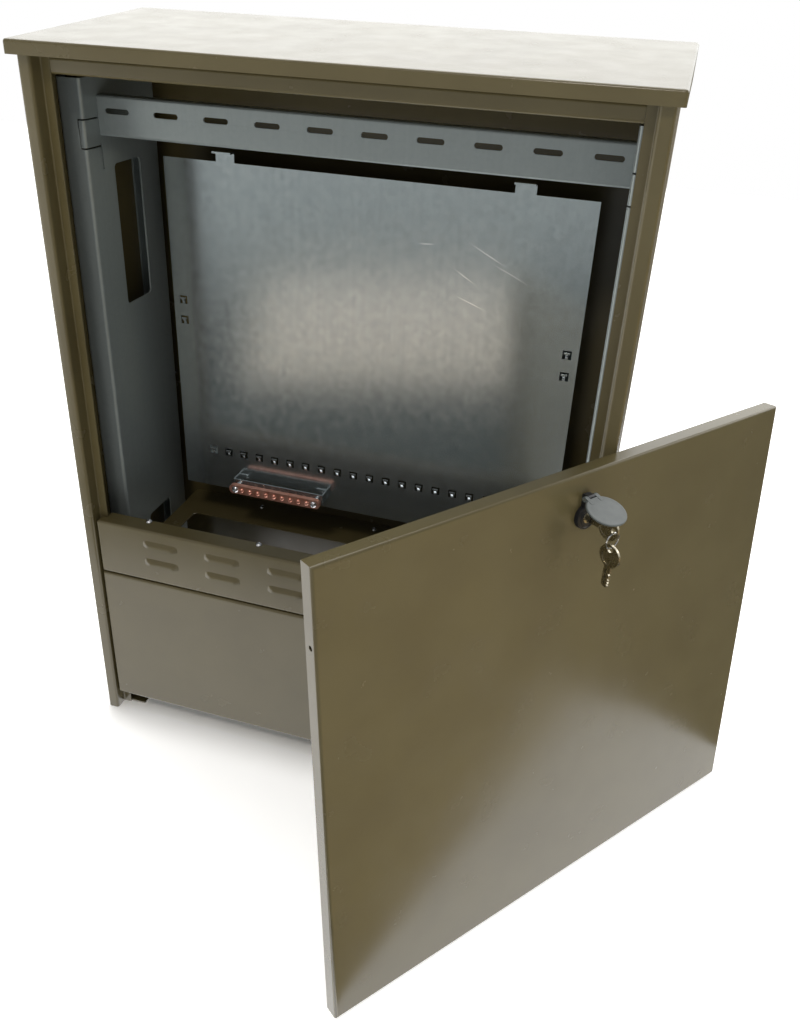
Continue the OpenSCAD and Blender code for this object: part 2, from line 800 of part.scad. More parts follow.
// Outline of the door's front half, rounded at the two front folds
function door_outline(a, b, depth, r) = concat(
    [[a, depth]], round_corner([a, depth], [a, 0], [b, 0], r),
    round_corner([a, 0], [b, 0], [b, depth], r), [[b, depth]]);

module door_panel() {
    tongue_in = door_w / 2 - stop_x + 2 * slip_gap;
    color(olive) leaning_door() difference() {
        union() {
            intersection() {
                linear_extrude(door_h) polygon(door_outline(0, door_w, door_t, door_r));
                sweep_x(0, door_w) polygon([for (p = door_outline(0, door_h, door_t, door_r))
                    [p[1], p[0]]]);
            }
            block([tongue_in, door_t - 2, 0], [door_w - tongue_in, tongue_d, sheet]);
        }
        block([sheet, sheet, sheet], [door_w - sheet, door_t - sheet, door_h - sheet]);
        block([door_return, sheet, sheet],
              [door_w - door_return, door_t + 1, door_h - door_return]);
        translate([lock_x, 0, lock_z]) bar_y(barrel_r + slip_gap, -1, sheet + 1);
        for (x = stud_x) translate([door_w / 2 + x, stud_y, 0])
            bar_z(stud_hole, -1, sheet + 1, 32);
        translate([0, door_t / 2, door_h - 75]) bar_x(2.5, -1, sheet + 1);
    }
}

// ---- Lock, cover, keys ----

plug_back = door_t + 4.6;
cam_y = door_t + 1.5;
cam_t = 3;
drive = 3.5;
knuckle_r = 2.6;
knuckle_w = 8;
face_y = -rose_t;

module at_hinge() {
    at_lock() translate([0, -hinge_out, hinge_up]) children();
}

module lock_body() {
    neck = 4;
    color(lock_black) at_lock() difference() {
        union() {
            bar_y(rose_r, face_y, 0);
            bar_y(barrel_r, 0, cam_y - rest_gap);
            block([-neck, face_y, 0], [neck, 0, hinge_up - knuckle_r]);
            block([-neck, -hinge_out, hinge_up - knuckle_r],
                  [neck, 0, hinge_up + knuckle_r]);
            translate([0, -hinge_out, hinge_up])
                bar_x(knuckle_r, -knuckle_w / 2, knuckle_w / 2);
        }
        bar_y(plug_r + run_gap, face_y - 2, cam_y);
        translate([0, -hinge_out, hinge_up])
            bar_x(pin_r + run_gap, -knuckle_w, knuckle_w);
    }
}

module lock_nut() {
    color(bright_zinc) at_lock() difference() {
        bar_y(13.5, sheet, sheet + 4, 6);
        bar_y(barrel_r + 0.02, 0, sheet + 5);
    }
}

key_slot = 4.2;

module lock_cylinder() {
    color(nickel) at_lock() difference() {
        union() {
            bar_y(plug_r, face_y - 0.6, cam_y - rest_gap);
            block([-drive, cam_y - 1, -drive], [drive, plug_back, drive]);
        }
        block([-key_t / 2 - 0.1, -10, -key_slot - 0.1], [key_t / 2 + 0.1, 9, key_slot + 0.1]);
        bar_y(m4_r + 0.02, 11, plug_back + 1);
    }
}

module lock_cam() {
    color(bright_zinc) at_lock() difference() {
        union() {
            bar_y(8, cam_y, cam_y + cam_t);
            block([-cam_l, cam_y, -7], [0, cam_y + cam_t, 7]);
        }
        block([-drive - 0.1, cam_y - 1, -drive - 0.1],
              [drive + 0.1, cam_y + cam_t + 1, drive + 0.1]);
    }
}

module cam_screw() {
    color(bright_zinc) at_lock() translate([0, plug_back + 0.02, 0]) rotate([-90, 0, 0])
        dome_screw(5.5, 3, m4_r, 8);
}

// Angle from closed at which the cover comes to rest on the key's bow
cover_rest = let (a = hinge_up, b = bow_out - hinge_out, c = bow_r + rest_gap - 0.5)
    asin(c / norm([a, b])) + atan(b / a);

// Children are drawn with the cover closed, and turned up to where it rests
module on_cover() {
    at_hinge() rotate([-cover_rest, 0, 0]) children();
}

module lock_cover() {
    out = 0.5 + cover_t;
    color(cover_grey) on_cover() difference() {
        union() {
            translate([0, 0, -cover_r - 1.5]) bar_y(cover_r, -out, -0.5);
            for (x = [-knuckle_w, knuckle_w / 2 + slip_gap]) {
                w = knuckle_w / 2 - slip_gap;
                translate([x, 0, 0]) bar_x(knuckle_r, 0, w);
                block([x, -out, -9], [x + w, -0.5, 0]);
            }
        }
        bar_x(pin_r + 0.02, -knuckle_w - 1, knuckle_w + 1);
        block([-knuckle_w / 2 - slip_gap, -6, -knuckle_r - 0.6],
              [knuckle_w / 2 + slip_gap, 6, 6]);
    }
}

module cover_pin() {
    color(bright_zinc) on_cover() bar_x(pin_r, -knuckle_w, knuckle_w);
}

key_hole_r = 3;
key_hole_out = 6.5;
blade_h = 3.8;

// A key with its bow's middle at the origin and its blade along +Y
module key_blank(blade_end) {
    difference() {
        union() {
            bar_x(bow_r, -key_t / 2, key_t / 2);
            block([-key_t / 2, 0, -blade_h], [key_t / 2, blade_end, blade_h]);
        }
        translate([0, -key_hole_out, 0]) bar_x(key_hole_r, -key_t, key_t);
    }
}

module key() {
    color(nickel) at_lock() translate([0, -bow_out, 0]) key_blank(bow_out + 8);
}

hole_out = bow_out + key_hole_out;
hang = key_hole_r - wire_r - rest_gap;

// Children are drawn hanging straight down from the middle of the ring's wire
module hanging() {
    at_lock() translate([0, -hole_out, 0]) rotate([door_lean, 0, 0])
        translate([0, 0, -hang]) children();
}

module key_ring() {
    color(bright_zinc) hanging() translate([0, 0, -ring_r]) rotate([90, 0, 0])
        rotate_extrude($fn = 48) translate([ring_r, 0]) circle(wire_r, $fn = 16);
}

module spare_key() {
    color(nickel) hanging()
        translate([0, 0, -2 * ring_r - hang - key_hole_out]) rotate([-90, 0, 0])
            key_blank(bow_r + 22);
}

left_side_panel();
right_side_panel();
back_panel();
back_screws();
header_rail();
roof();
roof_ribs();
roof_bolts();
roof_nuts();
lower_panel();
vent_panel();
sill_rail();
ledge_screws();
floor_plate();
rear_floor_rail();
floor_screws();
left_channel();
right_channel();
cross_rail();
mounting_plate();
left_plate_support();
right_plate_support();
earth_bar_bracket();
earth_bar();
earth_bar_screws();
door_panel();
lock_body();
lock_nut();
lock_cylinder();
lock_cam();
cam_screw();
lock_cover();
cover_pin();
key();
key_ring();
spare_key();
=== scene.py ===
"""Roadside utility cabinet: finishes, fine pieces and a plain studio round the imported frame.

Every piece is in metres in the cabinet's own frame: the middle of the footprint on the ground,
+X to the right of a person facing the door opening, +Y into the cabinet, +Z up.
"""

from __future__ import annotations

import json
import logging
import math
from dataclasses import dataclass
from enum import Enum
from typing import Any, Iterable, Sequence

import bmesh
import bpy
from mathutils import Matrix, Quaternion, Vector

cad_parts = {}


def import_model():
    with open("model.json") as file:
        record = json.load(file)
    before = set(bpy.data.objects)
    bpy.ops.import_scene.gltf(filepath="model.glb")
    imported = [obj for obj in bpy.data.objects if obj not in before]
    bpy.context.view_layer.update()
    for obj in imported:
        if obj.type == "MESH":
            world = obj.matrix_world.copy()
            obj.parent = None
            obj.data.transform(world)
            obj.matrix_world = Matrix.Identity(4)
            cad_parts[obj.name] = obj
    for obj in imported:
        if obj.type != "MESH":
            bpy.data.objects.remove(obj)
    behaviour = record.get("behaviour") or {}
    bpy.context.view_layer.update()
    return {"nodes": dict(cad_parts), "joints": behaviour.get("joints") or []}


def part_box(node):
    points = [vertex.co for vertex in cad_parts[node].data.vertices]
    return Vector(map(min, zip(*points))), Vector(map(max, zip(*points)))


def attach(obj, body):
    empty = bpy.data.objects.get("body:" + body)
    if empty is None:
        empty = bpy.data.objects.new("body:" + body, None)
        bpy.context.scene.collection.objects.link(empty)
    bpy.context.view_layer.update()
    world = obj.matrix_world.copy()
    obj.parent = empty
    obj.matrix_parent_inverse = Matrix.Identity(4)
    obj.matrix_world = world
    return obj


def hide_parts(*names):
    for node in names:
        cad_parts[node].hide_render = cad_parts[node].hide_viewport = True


MM = 0.001
QUARTER = math.pi / 2
LOG = logging.getLogger("cabinet")

# A noise texture keeps mostly within this span
NOISE_SPAN = (0.3, 0.7)
# Points of a sheet's copy that are closer than this many millimetres are one point
SAME_POINT = 0.002
# Room that a cutting tool has past the face that it cuts, in millimetres
PAST = 1.0

Outline = Sequence[tuple[float, float]]
Colour = tuple[float, float, float, float]


class Body(Enum):
    """The bodies that pieces ride on."""

    CABINET = "cabinet"
    COVER = "lock_cover"
    PLUG = "lock_plug"
    RING = "key_ring"


class Cut(Enum):
    """What one solid does to another."""

    FUSE = "UNION"
    TAKE = "DIFFERENCE"
    SHARE = "INTERSECT"


# ---- Colour and nodes ----


def linear(hex_colour: str) -> Colour:
    """Turns an sRGB hex colour into linear values.

    Args:
        hex_colour: six hex digits, with or without a leading #.

    Returns:
        Red, green, blue and a full alpha.
    """
    digits = hex_colour.lstrip("#")
    channels = [int(digits[i : i + 2], 16) / 255 for i in (0, 2, 4)]
    flat = [c / 12.92 if c <= 0.04045 else ((c + 0.055) / 1.055) ** 2.4 for c in channels]
    return (flat[0], flat[1], flat[2], 1.0)


def add_node(
    tree: bpy.types.NodeTree,
    kind: str,
    settings: dict[str, Any] | None = None,
    inputs: dict[str | int, Any] | None = None,
) -> bpy.types.Node:
    """Adds a node with its settings, values and links.

    Args:
        tree: the tree that the node goes into.
        kind: the node's type name.
        settings: the node's own properties.
        inputs: a value or an output socket for each input, by name or number.

    Returns:
        The new node.
    """
    node = tree.nodes.new(kind)
    for key, value in (settings or {}).items():
        setattr(node, key, value)
    for key, value in (inputs or {}).items():
        if isinstance(value, bpy.types.NodeSocket):
            tree.links.new(value, node.inputs[key])
        else:
            node.inputs[key].default_value = value
    return node


def set_ramp(node: bpy.types.Node, stops: Sequence[tuple[float, Colour]]) -> None:
    """Gives a colour ramp its stops, from low to high.

    Args:
        node: the colour ramp node.
        stops: place and colour of each stop.
    """
    ramp = node.color_ramp
    while len(ramp.elements) > 1:
        ramp.elements.remove(ramp.elements[-1])
    for i, (place, colour) in enumerate(stops):
        stop = ramp.elements[0] if i == 0 else ramp.elements.new(place)
        stop.position = place
        stop.color = colour


def per_metre(size_mm: float) -> float:
    """Texture scale that gives a pattern features of about this size in millimetres."""
    return 1.0 / (size_mm * MM)


# ---- Finishes ----


@dataclass(frozen=True)
class Finish:
    """A finish with a colour that drifts a little, a fine bump and an uneven gloss.

    The drift and the bump have their sizes in millimetres, and the patches of gloss have a
    share of the drift's size.
    """

    name: str
    slot: str
    colour: str
    drift: str
    metallic: float
    roughness: float
    gloss_spread: float = 0.04
    drift_mm: float = 60.0
    bump_mm: float = 1.5
    bump_height_mm: float = 0.02
    bump_strength: float = 0.3
    ior: float = 1.5
    drift_span: tuple[float, float] = (0.32, 0.62)
    gloss_share: float = 0.4

    def colour_socket(
        self, tree: bpy.types.NodeTree, place: bpy.types.NodeSocket
    ) -> bpy.types.NodeSocket:
        """Colour with its drift.

        Args:
            tree: the material's nodes.
            place: object coordinates.

        Returns:
            The colour's output socket.
        """
        cloud = add_node(tree, "ShaderNodeTexNoise", inputs={
            "Vector": place, "Scale": per_metre(self.drift_mm), "Detail": 4.0})
        ramp = add_node(tree, "ShaderNodeValToRGB", inputs={"Fac": cloud.outputs["Fac"]})
        start, end = self.drift_span
        set_ramp(ramp, [(start, linear(self.drift)), (end, linear(self.colour))])
        return ramp.outputs["Color"]

    def roughness_socket(
        self, tree: bpy.types.NodeTree, place: bpy.types.NodeSocket
    ) -> bpy.types.NodeSocket:
        """Roughness that varies from place to place.

        Args:
            tree: the material's nodes.
            place: object coordinates.

        Returns:
            The roughness's output socket.
        """
        cloud = add_node(tree, "ShaderNodeTexNoise", inputs={
            "Vector": place, "Scale": per_metre(self.drift_mm * self.gloss_share),
            "Detail": 5.0})
        spread = add_node(tree, "ShaderNodeMapRange", inputs={
            "Value": cloud.outputs["Fac"], "From Min": NOISE_SPAN[0],
            "From Max": NOISE_SPAN[1],
            "To Min": self.roughness - self.gloss_spread,
            "To Max": self.roughness + self.gloss_spread})
        return spread.outputs["Result"]

    def bump_socket(
        self, tree: bpy.types.NodeTree, place: bpy.types.NodeSocket
    ) -> bpy.types.NodeSocket:
        """Surface texture, which is the fine grain alone unless the finish has more."""
        return self.grain_socket(tree, place)

    def grain_socket(
        self, tree: bpy.types.NodeTree, place: bpy.types.NodeSocket,
        under: bpy.types.NodeSocket | None = None,
    ) -> bpy.types.NodeSocket:
        """Fine grain.

        Args:
            tree: the material's nodes.
            place: object coordinates.
            under: the normal of a coarser bump that it lies on.

        Returns:
            The bump's normal socket.
        """
        grain = add_node(tree, "ShaderNodeTexNoise", inputs={
            "Vector": place, "Scale": per_metre(self.bump_mm), "Detail": 2.0})
        values: dict[str | int, Any] = {
            "Height": grain.outputs["Fac"], "Distance": self.bump_height_mm * MM,
            "Strength": self.bump_strength}
        if under is not None:
            values["Normal"] = under
        return add_node(tree, "ShaderNodeBump", inputs=values).outputs["Normal"]

    def material(self) -> bpy.types.Material:
        """Makes the material, or finds it if it is made already.

        Returns:
            The material.
        """
        made = bpy.data.materials.get(self.name)
        if made is not None:
            return made
        made = bpy.data.materials.new(self.name)
        made.use_nodes = True
        tree = made.node_tree
        tree.nodes.clear()
        place = add_node(tree, "ShaderNodeTexCoord").outputs["Object"]
        shader = add_node(tree, "ShaderNodeBsdfPrincipled", inputs={
            "Metallic": self.metallic, "IOR": self.ior,
            "Base Color": self.colour_socket(tree, place),
            "Roughness": self.roughness_socket(tree, place),
            "Normal": self.bump_socket(tree, place)})
        add_node(tree, "ShaderNodeOutputMaterial", inputs={"Surface": shader.outputs["BSDF"]})
        return made


@dataclass(frozen=True)
class PowderCoat(Finish):
    """Polyester powder melted on to steel sheet, which leaves a soft orange peel.

    Real orange peel is 1 to 2 mm from dimple to dimple. It is drawn at 2.6 mm, as fine as
    still shows in a render, with a finer second layer on top of it.
    """

    peel_mm: float = 2.6
    peel_height_mm: float = 0.05
    peel_strength: float = 0.5

    def bump_socket(
        self, tree: bpy.types.NodeTree, place: bpy.types.NodeSocket
    ) -> bpy.types.NodeSocket:
        """Orange peel in two sizes.

        Args:
            tree: the material's nodes.
            place: object coordinates.

        Returns:
            The bump's normal socket.
        """
        dimples = add_node(tree, "ShaderNodeTexNoise", inputs={
            "Vector": place, "Scale": per_metre(self.peel_mm), "Detail": 0.0})
        coarse = add_node(tree, "ShaderNodeBump", inputs={
            "Height": dimples.outputs["Fac"], "Distance": self.peel_height_mm * MM,
            "Strength": self.peel_strength})
        return self.grain_socket(tree, place, coarse.outputs["Normal"])


@dataclass(frozen=True)
class Scratch:
    """A straight scratch across a sheet: its middle, length and width in mm, and its tilt."""

    x: float
    z: float
    length: float
    width: float
    tilt: float


@dataclass(frozen=True)
class GalvanisedSheet(Finish):
    """Hot-dip galvanised steel: zinc crystals, faint rolling streaks and handling scratches."""

    spangle_mm: float = 7.0
    spangle_depth: float = 0.10
    streak_mm: float = 4.0
    streak_depth: float = 0.05
    streak_ratio: float = 0.03
    tone_span: tuple[float, float] = (0.2, 0.8)
    scratches: tuple[Scratch, ...] = ()
    bare_zinc: str = "#f2f4f4"

    def scratch_mask(
        self, tree: bpy.types.NodeTree, place: bpy.types.NodeSocket, mark: Scratch
    ) -> bpy.types.NodeSocket:
        """One scratch as a value of 0 to 1.

        Args:
            tree: the material's nodes.
            place: object coordinates.
            mark: the scratch.

        Returns:
            The mask's output socket.
        """
        turned = add_node(tree, "ShaderNodeMapping", settings={"vector_type": "TEXTURE"}, inputs={
            "Vector": place, "Location": (mark.x * MM, 0.0, mark.z * MM),
            "Rotation": (0.0, math.radians(-mark.tilt), 0.0)})
        split = add_node(tree, "ShaderNodeSeparateXYZ", inputs={"Vector": turned.outputs[0]})
        falls = []
        for axis, reach in (("X", mark.length / 2), ("Z", mark.width / 2)):
            away = add_node(tree, "ShaderNodeMath", settings={"operation": "ABSOLUTE"},
                            inputs={0: split.outputs[axis]})
            falls.append(add_node(tree, "ShaderNodeMapRange",
                                  settings={"interpolation_type": "SMOOTHSTEP"}, inputs={
                "Value": away.outputs[0], "From Min": 0.0, "From Max": reach * MM,
                "To Min": 1.0, "To Max": 0.0}).outputs["Result"])
        return add_node(tree, "ShaderNodeMath", settings={"operation": "MULTIPLY"},
                        inputs={0: falls[0], 1: falls[1]}).outputs[0]

    def colour_socket(
        self, tree: bpy.types.NodeTree, place: bpy.types.NodeSocket
    ) -> bpy.types.NodeSocket:
        """Colour with spangle, streaks and scratches.

        Args:
            tree: the material's nodes.
            place: object coordinates.

        Returns:
            The colour's output socket.
        """
        crystals = add_node(tree, "ShaderNodeTexVoronoi", inputs={
            "Vector": place, "Scale": per_metre(self.spangle_mm)})
        tone = add_node(tree, "ShaderNodeMapRange", inputs={
            "Value": crystals.outputs["Color"], "To Min": -self.spangle_depth,
            "To Max": self.spangle_depth})
        drawn = add_node(tree, "ShaderNodeMapping", inputs={
            "Vector": place, "Scale": (1.0, 1.0, self.streak_ratio)})
        streaks = add_node(tree, "ShaderNodeTexNoise", inputs={
            "Vector": drawn.outputs[0], "Scale": per_metre(self.streak_mm), "Detail": 4.0})
        lines = add_node(tree, "ShaderNodeMapRange", inputs={
            "Value": streaks.outputs["Fac"], "From Min": NOISE_SPAN[0],
            "From Max": NOISE_SPAN[1], "To Min": -self.streak_depth,
            "To Max": self.streak_depth})
        both = add_node(tree, "ShaderNodeMath", settings={"operation": "ADD"}, inputs={
            0: tone.outputs["Result"], 1: lines.outputs["Result"]})
        level = add_node(tree, "ShaderNodeMath", settings={"operation": "ADD"},
                         inputs={0: both.outputs[0], 1: 0.5})
        ramp = add_node(tree, "ShaderNodeValToRGB", inputs={"Fac": level.outputs[0]})
        start, end = self.tone_span
        set_ramp(ramp, [(start, linear(self.drift)), (end, linear(self.colour))])
        colour = ramp.outputs["Color"]
        for mark in self.scratches:
            colour = add_node(tree, "ShaderNodeMix", settings={"data_type": "RGBA"}, inputs={
                0: self.scratch_mask(tree, place, mark), 6: colour,
                7: linear(self.bare_zinc)}).outputs[2]
        return colour


# ---- Finishes of this cabinet ----

# Semi-gloss polyester powder in olive brown: diffuse colour with a soft sheen on every fold
OLIVE_COAT = PowderCoat("olive_polyester_powder_coat", "olive_coat", "#585035", "#534b31",
                        metallic=0.0, roughness=0.25, gloss_spread=0.03, drift_mm=90.0,
                        bump_mm=0.9, bump_height_mm=0.012, bump_strength=0.25)
# Galvanised strip of the channels and rail, passivated to a satin blue grey
CHANNEL_ZINC = GalvanisedSheet("passivated_galvanised_strip", "channel_zinc", "#8f9797",
                               "#7f8787", metallic=0.45, roughness=0.34, gloss_spread=0.04,
                               drift_mm=45.0, bump_mm=0.8, bump_height_mm=0.01,
                               bump_strength=0.2, spangle_mm=4.0, spangle_depth=0.06,
                               streak_depth=0.05)
# Galvanised plate with spangle, which blurs what stands in front of it
PLATE_ZINC = GalvanisedSheet("spangled_galvanised_sheet", "plate_zinc", "#c3cbcc", "#a9b1b3",
                             metallic=0.9, roughness=0.18, gloss_spread=0.03, drift_mm=30.0,
                             bump_mm=1.2, bump_height_mm=0.02, bump_strength=0.25,
                             scratches=(Scratch(133, 628, 52, 2.2, -27),
                                        Scratch(110, 602, 34, 1.8, -31),
                                        Scratch(160, 610, 60, 1.2, -24),
                                        Scratch(118, 574, 40, 1.5, -20),
                                        Scratch(66, 632, 22, 2.4, 4)))
# Bright zinc plate on rolled and headed steel
BRIGHT_ZINC = Finish("bright_zinc_plated_steel", "bright_zinc", "#dcdddf", "#c8cacc",
                     metallic=1.0, roughness=0.22, drift_mm=6.0, bump_mm=0.5,
                     bump_height_mm=0.01)
# Drawn copper bar, dulled by handling
BARE_COPPER = Finish("drawn_copper_bar", "copper", "#efb6a2", "#d8937d", metallic=0.85,
                     roughness=0.40, gloss_spread=0.08, drift_mm=9.0, bump_mm=0.7,
                     bump_height_mm=0.02)
# Glass-filled nylon of the lock's face: black, satin
LOCK_BLACK = Finish("black_glass_filled_nylon", "lock_black", "#17181b", "#101114",
                    metallic=0.0, roughness=0.34, drift_mm=5.0, bump_mm=0.5,
                    bump_height_mm=0.015)
# Moulded polyamide dust cover, mid grey
COVER_GREY = Finish("grey_moulded_polyamide", "cover_grey", "#4f5553", "#494f4d",
                    metallic=0.0, roughness=0.42, drift_mm=8.0, bump_mm=0.6,
                    bump_height_mm=0.02)
# Nickel-plated brass of the keys and plug, with the brass just showing
NICKEL = Finish("nickel_plated_brass", "nickel", "#b9b3a2", "#a39b86", metallic=1.0,
                roughness=0.24, gloss_spread=0.06, drift_mm=5.0, bump_mm=0.4,
                bump_height_mm=0.012)


# ---- Solids ----


def new_object(name: str, mesh: bpy.types.Mesh) -> bpy.types.Object:
    """Links a mesh into the scene as an object at the origin.

    Args:
        name: the object's name.
        mesh: its mesh.

    Returns:
        The object.
    """
    made = bpy.data.objects.new(name, mesh)
    bpy.context.scene.collection.objects.link(made)
    return made


def from_bmesh(name: str, shape: bmesh.types.BMesh) -> bpy.types.Object:
    """Turns a bmesh into an object with its faces pointing outwards.

    Args:
        name: the object's name.
        shape: the bmesh, which is freed.

    Returns:
        The object.
    """
    bmesh.ops.recalc_face_normals(shape, faces=shape.faces)
    mesh = bpy.data.meshes.new(name)
    shape.to_mesh(mesh)
    shape.free()
    return new_object(name, mesh)


def plain_mesh(piece: bpy.types.Object) -> None:
    """Takes a piece's modifiers into its mesh.

    Args:
        piece: the piece, which keeps no modifier.
    """
    graph = bpy.context.evaluated_depsgraph_get()
    mesh = bpy.data.meshes.new_from_object(
        piece.evaluated_get(graph), preserve_all_data_layers=True, depsgraph=graph)
    piece.modifiers.clear()
    piece.data = mesh


def discard(piece: bpy.types.Object) -> None:
    """Removes a helper object and its mesh.

    Args:
        piece: the helper.
    """
    mesh = piece.data
    bpy.data.objects.remove(piece)
    bpy.data.meshes.remove(mesh)


def combine(
    base: bpy.types.Object, tools: Iterable[bpy.types.Object], how: Cut
) -> bpy.types.Object:
    """Adds other solids to a solid, or takes them out of it.

    Args:
        base: the solid that stays.
        tools: the solids that are used up.
        how: what they do to it.

    Returns:
        The base.
    """
    for tool in tools:
        cut = base.modifiers.new("cut", "BOOLEAN")
        cut.operation = how.value
        cut.solver = "EXACT"
        cut.object = tool
        plain_mesh(base)
        discard(tool)
    return base


def lathe(name: str, profile: Outline, segments: int = 48) -> bpy.types.Object:
    """Turns a closed profile round the Y axis.

    Args:
        name: the object's name.
        profile: points of radius and Y in millimetres, from one end on the axis to the other.
        segments: flats round the axis.

    Returns:
        A closed solid.
    """
    shape = bmesh.new()
    rings: list[list[bmesh.types.BMVert]] = []
    for radius, along in profile:
        if radius <= 0:
            rings.append([shape.verts.new((0.0, along * MM, 0.0))])
            continue
        turn = [2 * math.pi * i / segments for i in range(segments)]
        rings.append([shape.verts.new((radius * MM * math.cos(a), along * MM,
                                       radius * MM * math.sin(a))) for a in turn])
    closed = len(rings[0]) > 1
    pairs = list(zip(rings, rings[1:])) + ([(rings[-1], rings[0])] if closed else [])
    for low, high in pairs:
        for i in range(segments):
            j = (i + 1) % segments
            corners = [low[i % len(low)], low[j % len(low)], high[j % len(high)],
                       high[i % len(high)]]
            face = list(dict.fromkeys(corners))
            if len(face) > 2:
                shape.faces.new(face)
    return from_bmesh(name, shape)


def prism(
    name: str, outline: Outline, low: float, high: float, axis: str = "Y"
) -> bpy.types.Object:
    """Extrudes an outline along one axis.

    Args:
        name: the object's name.
        outline: points in millimetres: (x, z) along Y, (y, z) along X, (x, y) along Z.
        low: where the prism starts.
        high: where it ends.
        axis: the letter of the axis.

    Returns:
        A closed solid.
    """
    def spot(point: tuple[float, float], depth: float) -> Vector:
        """Place of an outline's point at a depth along the axis."""
        a, b = point
        return Vector({"X": (depth, a, b), "Y": (a, depth, b), "Z": (a, b, depth)}[axis]) * MM

    shape = bmesh.new()
    ends = [[shape.verts.new(spot(p, depth)) for p in outline] for depth in (low, high)]
    shape.faces.new(ends[0])
    shape.faces.new(ends[1])
    for i in range(len(outline)):
        j = (i + 1) % len(outline)
        shape.faces.new((ends[0][i], ends[0][j], ends[1][j], ends[1][i]))
    return from_bmesh(name, shape)


def box(name: str, low: Sequence[float], high: Sequence[float]) -> bpy.types.Object:
    """A box between two corners in millimetres."""
    corners = [(low[0], low[2]), (high[0], low[2]), (high[0], high[2]), (low[0], high[2])]
    return prism(name, corners, low[1], high[1])


def arc(
    centre: tuple[float, float], radius: float, start: float, end: float, steps: int
) -> list[tuple[float, float]]:
    """Sets points on an arc, both ends included.

    Args:
        centre: the arc's centre in millimetres.
        radius: its radius in millimetres.
        start: the first point's angle in degrees.
        end: the last point's angle in degrees.
        steps: how many chords it has.

    Returns:
        The points.
    """
    angles = [math.radians(start + (end - start) * i / steps) for i in range(steps + 1)]
    return [(centre[0] + radius * math.cos(a), centre[1] + radius * math.sin(a))
            for a in angles]


def chamfered(radius: float, low: float, high: float, edge: float) -> list[tuple[float, float]]:
    """Draws the lathe profile of a round bar with softened ends.

    Args:
        radius: the bar's radius in millimetres.
        low: where it starts.
        high: where it ends.
        edge: how far its ends are softened.

    Returns:
        The profile's points of radius and length.
    """
    bulge = edge * 0.3
    return [(0, low), (radius - edge, low), (radius - bulge, low + bulge),
            (radius, low + edge), (radius, high - edge), (radius - bulge, high - bulge),
            (radius - edge, high), (0, high)]


def bore(radius: float, low: float, high: float, segments: int) -> bpy.types.Object:
    """A plain round tool along the Y axis, in millimetres, that cuts a hole."""
    return lathe("bore", [(0, low), (radius, low), (radius, high), (0, high)], segments)


def place_at(
    piece: bpy.types.Object, spot: Sequence[float], axis: str = "Z", angle: float = 0.0
) -> bpy.types.Object:
    """Turns a piece's mesh about an axis through the origin, then moves it.

    Args:
        piece: the piece.
        spot: where its origin goes, in millimetres.
        axis: the letter of the axis.
        angle: how far it turns, in radians.

    Returns:
        The piece.
    """
    piece.data.transform(Matrix.Translation([value * MM for value in spot])
                         @ Matrix.Rotation(angle, 4, axis))
    return piece


def soften(
    piece: bpy.types.Object, width_mm: float, segments: int = 2, sharp: float = 40.0
) -> None:
    """Rounds a piece's sharp edges with a bevel.

    Args:
        piece: the piece.
        width_mm: width of the bevel in millimetres.
        segments: faces across the bevel.
        sharp: the least angle of an edge that is rounded, in degrees.
    """
    bevel = piece.modifiers.new("soft edges", "BEVEL")
    bevel.width = width_mm * MM
    bevel.segments = segments
    bevel.limit_method = "ANGLE"
    bevel.angle_limit = math.radians(sharp)
    plain_mesh(piece)


def smooth(piece: bpy.types.Object, angle: float = 32.0) -> None:
    """Shades a piece smooth across its curves, flat on its sheets and crisp at its edges.

    Args:
        piece: the piece.
        angle: the least angle of a crisp edge, in degrees.
    """
    piece.data.shade_smooth()
    piece.data.set_sharp_from_angle(angle=math.radians(angle))
    lean = piece.modifiers.new("flat sheets", "WEIGHTED_NORMAL")
    lean.mode = "FACE_AREA"
    lean.weight = 100
    lean.keep_sharp = True
    plain_mesh(piece)


def merged_copy(node: bpy.types.Object, name: str) -> bpy.types.Object:
    """Copies a node's loose triangles into one connected mesh.

    Args:
        node: the node's object, which is left alone.
        name: the copy's name.

    Returns:
        The copy, with flat areas joined up.
    """
    shape = bmesh.new()
    shape.from_mesh(node.data)
    bmesh.ops.remove_doubles(shape, verts=shape.verts, dist=SAME_POINT * MM)
    mesh = bpy.data.meshes.new(name)
    shape.to_mesh(mesh)
    shape.free()
    return new_object(name, mesh)


def hand_over(
    piece: bpy.types.Object, finish: Finish, body: Body, stands_for: Sequence[str]
) -> bpy.types.Object:
    """Gives a finished piece its material and its body, shades it smooth and hides the nodes that
    it stands for.

    Args:
        piece: the piece, at rest and in place.
        finish: what it is made of.
        body: the body that it rides on.
        stands_for: names of the nodes that it replaces.

    Returns:
        The piece.
    """
    piece.data.materials.clear()
    piece.data.materials.append(finish.material())
    smooth(piece)
    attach(piece, body.value)
    if stands_for:
        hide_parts(*stands_for)
    LOG.info("%s: %d faces", piece.name, len(piece.data.polygons))
    return piece


# ---- Geometry Nodes ----


def new_tree(
    name: str, sockets: Sequence[tuple[str, str, Any]]
) -> tuple[bpy.types.GeometryNodeTree, bpy.types.Node]:
    """Starts a Geometry Nodes tree with named inputs.

    Args:
        name: the tree's name.
        sockets: name, kind and default value of each input.

    Returns:
        The tree and its input node.
    """
    tree = bpy.data.node_groups.new(name, "GeometryNodeTree")
    tree.interface.new_socket("Geometry", in_out="OUTPUT", socket_type="NodeSocketGeometry")
    for label, kind, value in sockets:
        made = tree.interface.new_socket(label, in_out="INPUT", socket_type=kind)
        if value is not None:
            made.default_value = value
    return tree, add_node(tree, "NodeGroupInput")


